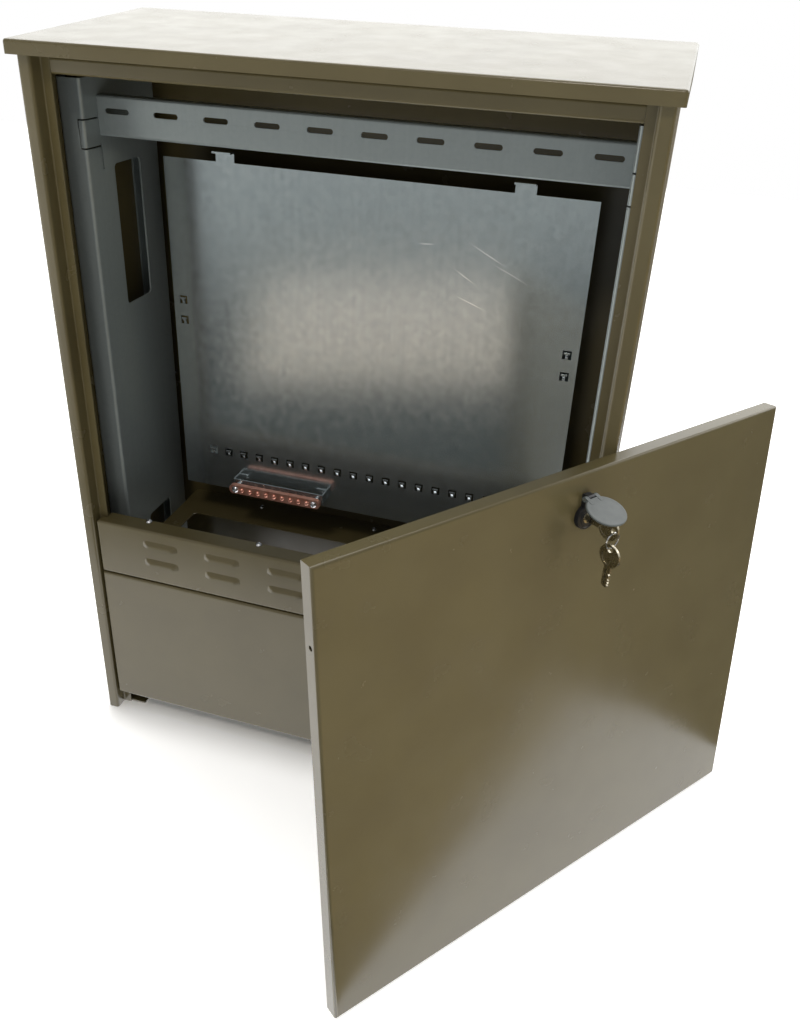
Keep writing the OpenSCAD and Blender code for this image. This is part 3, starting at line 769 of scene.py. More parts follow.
def close_tree(
    tree: bpy.types.GeometryNodeTree, shape: bpy.types.NodeSocket,
    finish: bpy.types.NodeSocket
) -> None:
    """Ends a tree with real geometry and its material.

    Args:
        tree: the tree.
        shape: the geometry made so far.
        finish: the material input.
    """
    real = add_node(tree, "GeometryNodeRealizeInstances", inputs={"Geometry": shape})
    dressed = add_node(tree, "GeometryNodeSetMaterial", inputs={
        "Geometry": real.outputs[0], "Material": finish})
    add_node(tree, "NodeGroupOutput", inputs={0: dressed.outputs[0]})


def rows_tree() -> bpy.types.GeometryNodeTree:
    """Makes, or finds, the tree that sets a pattern piece out in rows on an upright sheet.

    Returns:
        The tree.
    """
    found = bpy.data.node_groups.get("rows on an upright sheet")
    if found is not None:
        return found
    tree, entry = new_tree("rows on an upright sheet", [
        ("Columns", "NodeSocketInt", 2), ("Rows", "NodeSocketInt", 1),
        ("Column pitch", "NodeSocketFloat", 0.02), ("Row pitch", "NodeSocketFloat", 0.02),
        ("Middle", "NodeSocketVector", None), ("Pattern piece", "NodeSocketObject", None),
        ("Finish", "NodeSocketMaterial", None)])
    spans = []
    for count, pitch in (("Columns", "Column pitch"), ("Rows", "Row pitch")):
        gaps = add_node(tree, "ShaderNodeMath", settings={"operation": "SUBTRACT"},
                        inputs={0: entry.outputs[count], 1: 1.0})
        spans.append(add_node(tree, "ShaderNodeMath", settings={"operation": "MULTIPLY"},
                              inputs={0: gaps.outputs[0], 1: entry.outputs[pitch]}))
    grid = add_node(tree, "GeometryNodeMeshGrid", inputs={
        "Size X": spans[0].outputs[0], "Size Y": spans[1].outputs[0],
        "Vertices X": entry.outputs["Columns"], "Vertices Y": entry.outputs["Rows"]})
    upright = add_node(tree, "GeometryNodeTransform", inputs={
        "Geometry": grid.outputs["Mesh"], "Translation": entry.outputs["Middle"],
        "Rotation": (QUARTER, 0.0, 0.0)})
    pattern = add_node(tree, "GeometryNodeObjectInfo",
                       inputs={"Object": entry.outputs["Pattern piece"]})
    spread = add_node(tree, "GeometryNodeInstanceOnPoints", inputs={
        "Points": upright.outputs[0], "Instance": pattern.outputs["Geometry"]})
    close_tree(tree, spread.outputs[0], entry.outputs["Finish"])
    return tree


def places_tree() -> bpy.types.GeometryNodeTree:
    """Makes, or finds, the tree that puts a pattern piece at each point of its object.

    Returns:
        The tree.
    """
    found = bpy.data.node_groups.get("one at each place")
    if found is not None:
        return found
    tree, entry = new_tree("one at each place", [
        ("Places", "NodeSocketGeometry", None), ("Pattern piece", "NodeSocketObject", None),
        ("Turn", "NodeSocketVector", None), ("Finish", "NodeSocketMaterial", None)])
    pattern = add_node(tree, "GeometryNodeObjectInfo",
                       inputs={"Object": entry.outputs["Pattern piece"]})
    spread = add_node(tree, "GeometryNodeInstanceOnPoints", inputs={
        "Points": entry.outputs["Places"], "Instance": pattern.outputs["Geometry"],
        "Rotation": entry.outputs["Turn"]})
    close_tree(tree, spread.outputs[0], entry.outputs["Finish"])
    return tree


def coil_tree() -> bpy.types.GeometryNodeTree:
    """Makes, or finds, the tree that winds round wire into a coil about the Y axis.

    Returns:
        The tree.
    """
    found = bpy.data.node_groups.get("wound wire")
    if found is not None:
        return found
    tree, entry = new_tree("wound wire", [
        ("Turns", "NodeSocketFloat", 2.0), ("Radius", "NodeSocketFloat", 0.008),
        ("Length", "NodeSocketFloat", 0.001), ("Wire radius", "NodeSocketFloat", 0.0005),
        ("Points a turn", "NodeSocketInt", 48), ("Wire sides", "NodeSocketInt", 10),
        ("Finish", "NodeSocketMaterial", None)])
    line = add_node(tree, "GeometryNodeCurveSpiral", inputs={
        "Resolution": entry.outputs["Points a turn"], "Rotations": entry.outputs["Turns"],
        "Start Radius": entry.outputs["Radius"], "End Radius": entry.outputs["Radius"],
        "Height": entry.outputs["Length"]})
    section = add_node(tree, "GeometryNodeCurvePrimitiveCircle", inputs={
        "Resolution": entry.outputs["Wire sides"], "Radius": entry.outputs["Wire radius"]})
    wire = add_node(tree, "GeometryNodeCurveToMesh", inputs={
        "Curve": line.outputs["Curve"], "Profile Curve": section.outputs["Curve"],
        "Fill Caps": True})
    laid = add_node(tree, "GeometryNodeTransform", inputs={
        "Geometry": wire.outputs["Mesh"], "Rotation": (-QUARTER, 0.0, 0.0)})
    close_tree(tree, laid.outputs[0], entry.outputs["Finish"])
    return tree


def grow(
    piece: bpy.types.Object, tree: bpy.types.GeometryNodeTree, values: dict[str, Any]
) -> bpy.types.Object:
    """Runs a tree on a piece and keeps the result as its plain mesh.

    Args:
        piece: the object that carries the tree.
        tree: the Geometry Nodes tree.
        values: a value for each named input.

    Returns:
        The piece.
    """
    growth = piece.modifiers.new("growth", "NODES")
    growth.node_group = tree
    for item in tree.interface.items_tree:
        if item.item_type == "SOCKET" and item.in_out == "INPUT" and item.name in values:
            growth[item.identifier] = values[item.name]
    piece.update_tag()
    bpy.context.view_layer.update()
    plain_mesh(piece)
    return piece


def empty_piece(name: str, places: Sequence[Sequence[float]] = ()) -> bpy.types.Object:
    """Makes an object that holds only points.

    Args:
        name: the object's name.
        places: the points in metres.

    Returns:
        The object.
    """
    mesh = bpy.data.meshes.new(name)
    mesh.from_pydata([tuple(p) for p in places], [], [])
    return new_object(name, mesh)


# ---- Fixings ----


@dataclass
class PanHeadScrew:
    """A pan-head screw with a cross recess; its head stands on Y = 0 and points to -Y."""

    head_r: float
    head_h: float
    shank_r: float
    shank_l: float
    recess: float = 0.5
    turn: float = 20.0
    dome_steps: int = 6
    segments: int = 28
    arm_share: float = 0.62
    slot_share: float = 0.13

    def build(self, name: str) -> bpy.types.Object:
        """Builds the screw as one closed solid.

        Args:
            name: the object's name.

        Returns:
            The screw, with its axis on Y.
        """
        steps = self.dome_steps
        ball = (self.head_r**2 + self.head_h**2) / (2 * self.head_h)
        widest = math.asin(min(1.0, self.head_r / ball))
        dome = [(ball * math.sin(widest * (1 - i / steps)),
                 -(ball * math.cos(widest * (1 - i / steps)) - ball + self.head_h))
                for i in range(steps)]
        screw = lathe(name, [(0, self.shank_l), (self.shank_r * 0.7, self.shank_l),
                             (self.shank_r, self.shank_l - 0.8), (self.shank_r, 0.0),
                             (self.head_r - 0.2, 0.0), *dome, (0, -self.head_h)],
                      self.segments)
        arm, wide = self.head_r * self.arm_share, self.head_r * self.slot_share
        cross = [(arm, -wide), (arm, wide), (wide, wide), (wide, arm), (-wide, arm),
                 (-wide, wide), (-arm, wide), (-arm, -wide), (-wide, -wide), (-wide, -arm),
                 (wide, -arm), (wide, -wide)]
        angle = math.radians(self.turn)
        turned = [(x * math.cos(angle) - z * math.sin(angle),
                   x * math.sin(angle) + z * math.cos(angle)) for x, z in cross]
        driver = prism("driver", turned, -self.head_h - PAST, -self.head_h * self.recess)
        return combine(screw, [driver], Cut.TAKE)


@dataclass
class ScrewGroup:
    """Screws of one kind at several places."""

    name: str
    node: str
    screw: PanHeadScrew
    places: list[tuple[float, float, float]]
    turn: tuple[float, float, float]
    finish: Finish = BRIGHT_ZINC

    def build(self) -> bpy.types.Object:
        """Sets the screws out and hands them over.

        Returns:
            The screws as one piece.
        """
        pattern = self.screw.build("screw pattern")
        smooth(pattern)
        group = empty_piece(self.name, self.places)
        grow(group, places_tree(), {
            "Pattern piece": pattern, "Turn": Vector(self.turn),
            "Finish": self.finish.material()})
        discard(pattern)
        return hand_over(group, self.finish, Body.CABINET, [self.node])


HEAD_UP = (-QUARTER, 0.0, 0.0)
HEAD_FORWARD = (0.0, 0.0, 0.0)
HEAD_BACK = (0.0, 0.0, math.pi)


@dataclass
class Fixings:
    """Screws, bolts and nuts that hold the cabinet together."""

    ledge_x: tuple[float, ...] = (-224.0, -81.0, 81.0, 224.0)
    floor_x: tuple[float, ...] = (-165.0, 0.0, 165.0)
    back_x: float = 290.0
    back_z: tuple[float, ...] = (100.0, 401.0, 702.0)

    def upright_row(self, place: str, screw: PanHeadScrew, spots: Sequence[float]) -> None:
        """Sets screws out along X with their heads up.

        Args:
            place: the part of the cabinet that they stand on.
            screw: what each is.
            spots: their places along X in mm.
        """
        low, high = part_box(f"{place}_screws")
        y, z = (low.y + high.y) / 2, high.z - screw.head_h * MM
        ScrewGroup(f"{place}_pan_head_screws", f"{place}_screws", screw,
                   [(x * MM, y, z) for x in spots], HEAD_UP).build()

    def build(self) -> None:
        """Builds every group at the height and depth of its node."""
        self.upright_row("ledge", PanHeadScrew(4.0, 2.8, 2.0, 9.0), self.ledge_x)
        self.upright_row("floor", PanHeadScrew(3.6, 2.4, 2.0, 8.0), self.floor_x)
        screw = PanHeadScrew(4.2, 2.6, 2.0, 10.0)
        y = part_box("back_screws")[1].y - screw.head_h * MM
        ScrewGroup("back_pan_head_screws", "back_screws", screw,
                   [(s * self.back_x * MM, y, z * MM) for s in (-1, 1) for z in self.back_z],
                   HEAD_BACK).build()


# ---- Folded sheet of the shell ----


@dataclass
class Shell:
    """Folded and coated sheets of the cabinet, and the door, with their folds drawn smooth."""

    sheets: tuple[str, ...] = (
        "left_side_panel", "right_side_panel", "back_panel", "header_rail", "roof",
        "roof_ribs", "lower_panel", "sill_rail", "floor_plate", "rear_floor_rail",
        "door_panel")

    def build(self, nodes: dict[str, bpy.types.Object]) -> None:
        """Dresses each sheet.

        Args:
            nodes: the frame's node objects.
        """
        for name in self.sheets:
            hand_over(merged_copy(nodes[name], name + "_coated"), OLIVE_COAT, Body.CABINET,
                      [name])


@dataclass
class Steelwork:
    """Galvanised channels, rail, supports and the roof's bolts and nuts."""

    strips: tuple[str, ...] = ("left_channel", "right_channel", "cross_rail",
                               "left_plate_support", "right_plate_support")
    brackets: tuple[str, ...] = ("earth_bar_bracket",)
    hardware: tuple[str, ...] = ("roof_bolts", "roof_nuts")

    def build(self, nodes: dict[str, bpy.types.Object]) -> None:
        """Dresses each piece.

        Args:
            nodes: the frame's node objects.
        """
        for names, finish in ((self.strips, CHANNEL_ZINC), (self.brackets, PLATE_ZINC),
                              (self.hardware, BRIGHT_ZINC)):
            for name in names:
                hand_over(merged_copy(nodes[name], name + "_zinc"), finish, Body.CABINET,
                          [name])


@dataclass
class VentPanel:
    """Vent panel: a shallow pan with a ledge on top and two rows of pressed louvres."""

    body_d: float = 230.0
    sheet: float = 1.5
    fold: float = 3.0
    inset: float = 3.0
    depth: float = 11.0
    ledge_inset: float = 8.2
    ledge_depth: float = 28.0
    ledge_drop: float = 12.0
    columns: int = 6
    pitch: float = 80.0
    row_pitch: float = 25.0
    top_row_drop: float = 18.0
    louvre_l: float = 46.0
    louvre_h: float = 9.0
    louvre_out: float = 3.4
    louvre_t: float = 1.0
    louvre_end: float = 8.5
    louvre_root: float = 0.25
    louvre_grid: tuple[int, int] = (28, 10)
    slot_side: float = 2.5
    slot_foot: float = 0.8
    slot_head: float = 2.2
    hole_r: float = 2.2
    hole_back: float = 23.0

    def pan(self, half: float, low: float, high: float) -> bpy.types.Object:
        """Builds the pan without its louvres.

        Args:
            half: half the panel's width in mm.
            low: its foot in mm.
            high: its top in mm.

        Returns:
            The pan with Y counted from its own front face.
        """
        shape = bmesh.new()
        bmesh.ops.create_cube(shape, size=1.0)
        for v in shape.verts:
            v.co = Vector((v.co.x * 2 * half, (v.co.y + 0.5) * self.depth,
                           low + (v.co.z + 0.5) * (high - low))) * MM
        back = [f for f in shape.faces if f.normal.y > 0.9]
        bmesh.ops.delete(shape, geom=back, context="FACES_ONLY")
        front = [e for e in shape.edges
                 if len(e.link_faces) == 2 or all(v.co.y < 0.1 * MM for v in e.verts)]
        bmesh.ops.bevel(shape, geom=front, offset=self.fold * MM, segments=5,
                        affect="EDGES", profile=0.5)
        made = from_bmesh("pan", shape)
        wall = made.modifiers.new("wall", "SOLIDIFY")
        wall.thickness = self.sheet * MM
        wall.offset = -1.0
        plain_mesh(made)
        return made

    def ledge(self, half: float, top: float) -> bpy.types.Object:
        """Builds the ledge behind the pan's top edge, folded down at its back.

        Args:
            half: half the ledge's length in mm.
            top: its top face in mm.

        Returns:
            The ledge with Y counted from the pan's front face.
        """
        t, r = self.sheet, self.fold
        y0, y1 = self.depth - 1.0, self.ledge_depth - self.inset
        corner = arc((y1 - r, top - r), r, 90, 0, 6)
        inner = arc((y1 - r, top - r), r - t, 0, 90, 6)
        outline = [(y0, top), *corner, (y1, top - self.ledge_drop),
                   (y1 - t, top - self.ledge_drop), *inner, (y0, top - t)]
        return prism("ledge", outline, -half, half, "X")

    def louvre(self) -> bpy.types.Object:
        """One pressed louvre, closed above and at its ends and open below.

        Returns:
            A closed shell with its root on Y = 0 and its lip towards -Y.
        """
        columns, rows = self.louvre_grid
        half, tall = self.louvre_l / 2, self.louvre_h
        shape = bmesh.new()
        grid = []
        for j in range(rows + 1):
            v = j / rows
            line = []
            for i in range(columns + 1):
                u = 2 * i / columns - 1
                end = min(1.0, (1 - abs(u)) * half / self.louvre_end)
                across = math.sin(end * math.pi / 2) ** 1.2
                down = math.sin(min(1.0, v / 0.72) * math.pi / 2) ** 1.25
                out = self.louvre_root - self.louvre_out * across * down
                line.append(shape.verts.new((u * half * MM, out * MM,
                                             (tall / 2 - v * tall) * MM)))
            grid.append(line)
        for j in range(rows):
            for i in range(columns):
                shape.faces.new((grid[j][i], grid[j + 1][i], grid[j + 1][i + 1],
                                 grid[j][i + 1]))
        mesh = bpy.data.meshes.new("louvre")
        shape.normal_update()
        shape.to_mesh(mesh)
        shape.free()
        made = new_object("louvre", mesh)
        wall = made.modifiers.new("wall", "SOLIDIFY")
        wall.thickness = self.louvre_t * MM
        wall.offset = -1.0
        wall.use_even_offset = True
        plain_mesh(made)
        smooth(made, 60)
        return made

    def slots(self, top: float) -> list[bpy.types.Object]:
        """Builds the tools that cut the panel behind its louvres.

        Args:
            top: the panel's top in mm.

        Returns:
            One box for each louvre.
        """
        side = self.louvre_l / 2 - self.slot_side
        below, above = self.louvre_h / 2 - self.slot_foot, self.louvre_h / 2 - self.slot_head
        made = []
        for i in range(self.columns):
            x = (i - (self.columns - 1) / 2) * self.pitch
            for row in range(2):
                z = top - self.top_row_drop - row * self.row_pitch
                made.append(box("slot", (x - side, -2, z - below), (x + side, 4, z + above)))
        return made

    def build(self, holes_x: Sequence[float]) -> None:
        """Builds the panel.

        Args:
            holes_x: places of the ledge's screws along X in mm.
        """
        low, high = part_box("vent_panel")
        half, foot, top = high.x / MM, low.z / MM, high.z / MM
        front = -self.body_d / 2 + self.inset
        panel = combine(self.pan(half, foot, top), self.slots(top), Cut.TAKE)
        shelf = self.ledge(half - self.ledge_inset, top)
        back = self.hole_back - self.inset
        combine(shelf, [place_at(bore(self.hole_r, -3, 3, 20), (x, back, top), "X", QUARTER)
                        for x in holes_x], Cut.TAKE)
        combine(panel, [shelf], Cut.FUSE)
        panel.data.transform(Matrix.Translation((0, front * MM, 0)))
        panel.name = "vent_panel_coated"
        hand_over(panel, OLIVE_COAT, Body.CABINET, ["vent_panel"])
        pattern = self.louvre()
        rows = empty_piece("vent_louvres")
        middle = top - self.top_row_drop - self.row_pitch / 2
        grow(rows, rows_tree(), {
            "Columns": self.columns, "Rows": 2, "Column pitch": self.pitch * MM,
            "Row pitch": self.row_pitch * MM,
            "Middle": Vector((0, front, middle)) * MM,
            "Pattern piece": pattern, "Finish": OLIVE_COAT.material()})
        discard(pattern)
        hand_over(rows, OLIVE_COAT, Body.CABINET, [])


@dataclass
class MountingPlate:
    """Galvanised plate with square windows, each with a bent tongue, and two hooks on top."""

    sheet: float = 2.0
    window: float = 10.0
    row_count: int = 20
    row_pitch: float = 21.1
    row_up: float = 53.0
    side_in: float = 12.5
    side_up: tuple[float, float] = (224.0, 249.0)
    hook_x: float = 166.0
    hook_half: float = 11.0
    hook_h: float = 12.0
    hook_out: float = 9.0

    def windows(self, half: float) -> list[tuple[float, float]]:
        """Lists the middles of the windows.

        Args:
            half: half the plate's width in mm.

        Returns:
            X from the plate's middle and Z from its foot, in mm.
        """
        row = [((i - (self.row_count - 1) / 2) * self.row_pitch, self.row_up)
               for i in range(self.row_count)]
        side = [(s * (half - self.side_in), up) for s in (-1, 1) for up in self.side_up]
        return row + side

    def sheet_with_windows(self, half: float, tall: float) -> bpy.types.Object:
        """Builds the flat plate with its windows.

        Args:
            half: half its width in mm.
            tall: its height in mm.

        Returns:
            The plate with its front face on Y = 0 and its foot on Z = 0.
        """
        reach = self.window / 2
        middles = self.windows(half)
        xs = sorted({-half, half, *(round(x + s * reach, 3) for x, _ in middles
                                    for s in (-1, 1))})
        zs = sorted({0.0, tall, *(round(z + s * reach, 3) for _, z in middles
                                  for s in (-1, 1))})
        shape = bmesh.new()
        knots = {(i, j): shape.verts.new((x * MM, 0.0, z * MM))
                 for i, x in enumerate(xs) for j, z in enumerate(zs)}
        for i in range(len(xs) - 1):
            for j in range(len(zs) - 1):
                mx, mz = (xs[i] + xs[i + 1]) / 2, (zs[j] + zs[j + 1]) / 2
                if any(abs(mx - x) < reach and abs(mz - z) < reach for x, z in middles):
                    continue
                shape.faces.new((knots[i, j], knots[i + 1, j], knots[i + 1, j + 1],
                                 knots[i, j + 1]))
        mesh = bpy.data.meshes.new("plate")
        shape.normal_update()
        shape.to_mesh(mesh)
        shape.free()
        plate = new_object("plate", mesh)
        wall = plate.modifiers.new("wall", "SOLIDIFY")
        wall.thickness = self.sheet * MM
        wall.offset = -1.0
        plain_mesh(plate)
        return plate

    def tongue(self) -> bpy.types.Object:
        """Builds a tongue that rises from a window's foot and steps forward to a wider head.

        Returns:
            The tongue, with the window's middle at the origin.
        """
        t, reach = self.sheet, self.window / 2
        stem = prism("stem", [(t, -reach - 0.4), (t, -1.5), (-0.6, 0.8), (-0.6, 3.0),
                              (-2.0, 3.0), (-2.0, 0.2), (0.0, -2.4), (0.0, -reach - 0.4)],
                     -1.5, 1.5, "X")
        head = box("head", (-3.4, -2.0, 1.2), (3.4, -0.6, 3.4))
        made = combine(stem, [head], Cut.FUSE)
        soften(made, 0.25)
        smooth(made)
        return made

    def hook(self, side: int, tall: float) -> bpy.types.Object:
        """Builds a hook on the plate's top edge, bent forward.

        Args:
            side: -1 for the left hook, 1 for the right.
            tall: the plate's height in mm.

        Returns:
            The hook.
        """
        t, r = self.sheet, 2.5
        top = tall + self.hook_h
        outline = [(t, tall - 1), *arc((t - r, top - r), r, 0, 90, 5), (-self.hook_out, top),
                   (-self.hook_out, top - t), *arc((t - r, top - r), r - t, 90, 0, 5),
                   (0.0, tall - 1)]
        x = side * self.hook_x
        return prism("hook", outline, x - self.hook_half, x + self.hook_half, "X")

    def build(self) -> None:
        """Builds the plate and its tongues."""
        low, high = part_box("mounting_plate")
        half = high.x / MM
        tall = (high.z - low.z) / MM - self.hook_h
        front = high.y - self.sheet * MM
        plate = self.sheet_with_windows(half, tall)
        combine(plate, [self.hook(side, tall) for side in (-1, 1)], Cut.FUSE)
        plate.data.transform(Matrix.Translation((0, front, low.z)))
        plate.name = "mounting_plate_zinc"
        hand_over(plate, PLATE_ZINC, Body.CABINET, ["mounting_plate"])
        pattern = self.tongue()
        foot = low.z / MM
        for name, columns, rows, pitch, step, up in (
                ("plate_row_tongues", self.row_count, 1, self.row_pitch, 1.0, self.row_up),
                ("plate_side_tongues", 2, 2, 2 * (half - self.side_in),
                 self.side_up[1] - self.side_up[0], sum(self.side_up) / 2)):
            tongues = empty_piece(name)
            grow(tongues, rows_tree(), {
                "Columns": columns, "Rows": rows, "Column pitch": pitch * MM,
                "Row pitch": step * MM, "Middle": Vector((0, front / MM, foot + up)) * MM,
                "Pattern piece": pattern, "Finish": PLATE_ZINC.material()})
            hand_over(tongues, PLATE_ZINC, Body.CABINET, [])
        discard(pattern)


@dataclass
class EarthBar:
    """Copper bar with a row of terminal screws and a larger screw at each end."""

    terminals: int = 9
    row_in: float = 34.0
    end_in: float = 8.0
    end_r: float = 5.0
    edge: float = 0.8
    bore_r: float = 2.3
    sleeve: tuple[float, float] = (6.0, 12.4)
    sleeve_r: tuple[float, float] = (2.0, 4.0)

    def build(self) -> None:
        """Builds the bar and its screws."""
        low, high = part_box("earth_bar")
        bar_l, bar_h = (high.x - low.x) / MM, (high.z - low.z) / MM
        mid = Vector(((low.x + high.x) / 2, low.y, (low.z + high.z) / 2))
        x, z, r = bar_l / 2, bar_h / 2, self.end_r
        outline = [*arc((x - r, -z + r), r, -90, 0, 6), *arc((x - r, z - r), r, 0, 90, 6),
                   *arc((r - x, z - r), r, 90, 180, 6), *arc((r - x, -z + r), r, 180, 270, 6)]
        bar = prism("earth_bar_copper", outline, 0.0, (high.y - low.y) / MM)
        pitch = (bar_l - self.row_in) / (self.terminals - 1)
        row = [(i - (self.terminals - 1) / 2) * pitch for i in range(self.terminals)]
        ends = [self.end_in - x, x - self.end_in]
        combine(bar, [place_at(bore(self.bore_r, -PAST, 8, 20), (place, 0, 0))
                      for place in (*row, *ends)], Cut.TAKE)
        soften(bar, self.edge, 2)
        bar.data.transform(Matrix.Translation(mid))
        hand_over(bar, BARE_COPPER, Body.CABINET, ["earth_bar"])
        low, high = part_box("earth_bar_screws")
        reach = (high.y - mid.y) / MM
        pattern = PanHeadScrew(3.2, 2.4, 2.0, 7.0, 0.55, 35).build("terminal pattern")
        smooth(pattern)
        screws = empty_piece("earth_bar_terminals")
        grow(screws, rows_tree(), {
            "Columns": self.terminals, "Rows": 1, "Column pitch": pitch * MM,
            "Row pitch": MM, "Middle": mid, "Pattern piece": pattern,
            "Finish": BARE_COPPER.material()})
        discard(pattern)
        hand_over(screws, BARE_COPPER, Body.CABINET, [])
        post = PanHeadScrew(4.6, 3.0, 2.0, reach, 0.55, 12).build("post pattern")
        (near, far), (inside, outside) = self.sleeve, self.sleeve_r
        sleeve = lathe("sleeve", [(inside, near), (outside, near), (outside, far),
                                  (inside, far)], 28)
        combine(post, [sleeve], Cut.FUSE)
        smooth(post)
        posts = empty_piece("earth_bar_end_screws",
                            [mid + Vector((e * MM, 0, 0)) for e in ends])
        grow(posts, places_tree(), {
            "Pattern piece": post, "Turn": Vector(HEAD_FORWARD),
            "Finish": BRIGHT_ZINC.material()})
        discard(post)
        hand_over(posts, BRIGHT_ZINC, Body.CABINET, ["earth_bar_screws"])


# ---- Lock and keys ----


@dataclass
class LockPlace:
    """Where the lock is: its axis at the door's front face and the door's own directions."""

    across: Vector
    inward: Vector
    upward: Vector
    axis_point: Vector
    hinge: Vector
    ring_top: Vector

    @classmethod
    def from_joints(cls, joints: Sequence[dict[str, Any]]) -> LockPlace:
        """Reads the place from the joints of the lock.

        Args:
            joints: the frame's joints.

        Returns:
            The lock's place.
        """
        by_name = {joint["name"]: joint for joint in joints}
        inward = Vector(by_name["key_turn"]["axis"]).normalized()
        across = -Vector(by_name["lock_cover_lift"]["axis"]).normalized()
        return cls(across, inward, across.cross(inward),
                   Vector(by_name["key_turn"]["pos_m"]),
                   Vector(by_name["lock_cover_lift"]["pos_m"]),
                   Vector(by_name["key_ring_swing"]["pos_m"]))

    def matrix(self, origin: Vector) -> Matrix:
        """Matrix from the door's own directions at a point to the cabinet's frame."""
        turn = Matrix((self.across, self.inward, self.upward)).transposed().to_4x4()
        return Matrix.Translation(origin) @ turn


@dataclass
class CamLock:
    """Cam lock: black face with a hinge ear, threaded barrel, nut, plug and cam."""

    place: LockPlace
    face_r: float = 12.0
    face_t: float = 5.0
    barrel_r: float = 9.4
    thread: float = 1.0
    plug_r: float = 5.25
    ear_half: float = 4.0
    hinge_up: float = 21.0
    hinge_out: float = 6.5
    knuckle_r: float = 2.6
    key_t: float = 2.2
    slot_half: float = 4.3
    barrel_end: float = 17.2
    barrel_lead: float = 0.6
    drive: float = 3.5
    plug_end: float = 20.6
    cam_l: float = 45.0
    cam_y: float = 17.5
    cam_t: float = 3.0
    nut_across: float = 23.4
    nut_y: tuple[float, float] = (1.5, 5.5)
    plug_play: float = 0.05
    pin_hole_r: float = 1.06
    thread_h: float = 0.35
    wire_r: float = 0.33
    # Front of the face from the bore out: how far in from the rim, and how far back
    face_profile: Outline = ((4.2, 0.0), (3.8, 0.5), (2.6, 0.5), (2.2, 0.0), (1.0, 0.0),
                             (0.3, 0.3), (0.0, 1.0))

    def put(
        self, piece: bpy.types.Object, finish: Finish, body: Body, stands_for: Sequence[str]
    ) -> None:
        """Moves a piece from the lock's own frame to its place and hands it over."""
        piece.data.transform(self.place.matrix(self.place.axis_point))
        hand_over(piece, finish, body, stands_for)

    def face(self) -> bpy.types.Object:
        """Builds face, ear and barrel in one moulding.

        Returns:
            The moulding with the door's front face on Y = 0.
        """
        r, t, inner = self.face_r, self.face_t, self.plug_r + self.plug_play
        core = self.barrel_r - self.thread_h
        end, lead = self.barrel_end, self.barrel_lead
        body = lathe("lock_face_moulding", [
            (inner, -t), *((r - rim, -t + back) for rim, back in self.face_profile), (r, 0.0),
            (core, 0.0), (core, end - lead), (core - lead, end), (inner, end)], 64)
        up, out, k = self.hinge_up, self.hinge_out, self.knuckle_r
        ear = prism("ear", [(-4.6, 8.0), (4.6, 8.0), (4.0, up - 4.0), (3.8, up),
                            (-3.8, up), (-4.0, up - 4.0)], -t + 0.4, 0.0)
        shoulder = prism("shoulder", [(-out, up - k + 0.4), (0, up - k - 1.6), (0, up + k - 0.8),
                                      (-1.2, up + k), (-out, up + k)],
                         -3.8, 3.8, "X")
        half = self.ear_half
        knuckle = lathe("knuckle", chamfered(k, -half, half, 0.4), 32)
        place_at(knuckle, (0, -out, up), "Z", QUARTER)
        combine(body, [ear, shoulder, knuckle], Cut.FUSE)
        pin = place_at(bore(self.pin_hole_r, -9, 9, 24), (0, -out, up), "Z", QUARTER)
        return combine(body, [pin], Cut.TAKE)

    def barrel_thread(self) -> bpy.types.Object:
        """Winds the thread on the barrel behind the door.

        Returns:
            The thread.
        """
        start, end = 2.0, self.barrel_end - 1.0
        thread = empty_piece("lock_barrel_thread")
        grow(thread, coil_tree(), {
            "Turns": (end - start) / self.thread, "Radius": (self.barrel_r - self.thread_h) * MM,
            "Length": (end - start) * MM, "Wire radius": self.wire_r * MM, "Points a turn": 40,
            "Wire sides": 6, "Finish": LOCK_BLACK.material()})
        return place_at(thread, (0, start, 0))

    def plug(self) -> bpy.types.Object:
        """Builds the turning plug with its keyway and square drive.

        Returns:
            The plug.
        """
        plug = lathe("lock_plug_turned", chamfered(self.plug_r, -self.face_t - 0.6,
                                                   self.barrel_end, 0.4), 48)
        d = self.drive
        square = box("square", (-d, self.barrel_end - 0.7, -d), (d, self.plug_end, d))
        combine(plug, [square], Cut.FUSE)
        half = self.key_t / 2 + 0.15
        keyway = box("keyway", (-half, -10, -self.slot_half), (half, 9, self.slot_half))
        combine(plug, [keyway], Cut.TAKE)
        return plug

    def nut(self) -> bpy.types.Object:
        """Builds the hexagon nut with its turned corners.

        Returns:
            The nut.
        """
        reach = self.nut_across / math.sqrt(3)
        low, high = self.nut_y
        hexagon = prism("lock_nut_zinc", arc((0, 0), reach, 0, 300, 5), low, high)
        turned = lathe("turned", [(0, low), (reach - 1.2, low), (reach + 0.1, low + 0.8),
                                  (reach + 0.1, high - 0.8), (reach - 1.2, high), (0, high)],
                       48)
        combine(hexagon, [turned], Cut.SHARE)
        return combine(hexagon, [bore(self.barrel_r, 0, 8, 48)], Cut.TAKE)

    def cam(self) -> bpy.types.Object:
        """Builds the cam with a round end on the drive and a softened tip.

        Returns:
            The cam.
        """
        outline = [*arc((0, 0), 8.0, -118, 118, 24), (-self.cam_l + 3, 7.0),
                   *arc((3 - self.cam_l, 4.0), 3.0, 90, 180, 5),
                   *arc((3 - self.cam_l, -4.0), 3.0, 180, 270, 5)]
        cam = prism("lock_cam_zinc", outline, self.cam_y, self.cam_y + self.cam_t)
        d = self.drive + 0.1
        hole = box("hole", (-d, self.cam_y - 1, -d), (d, self.cam_y + 5, d))
        combine(cam, [hole], Cut.TAKE)
        soften(cam, 0.3)
        return cam

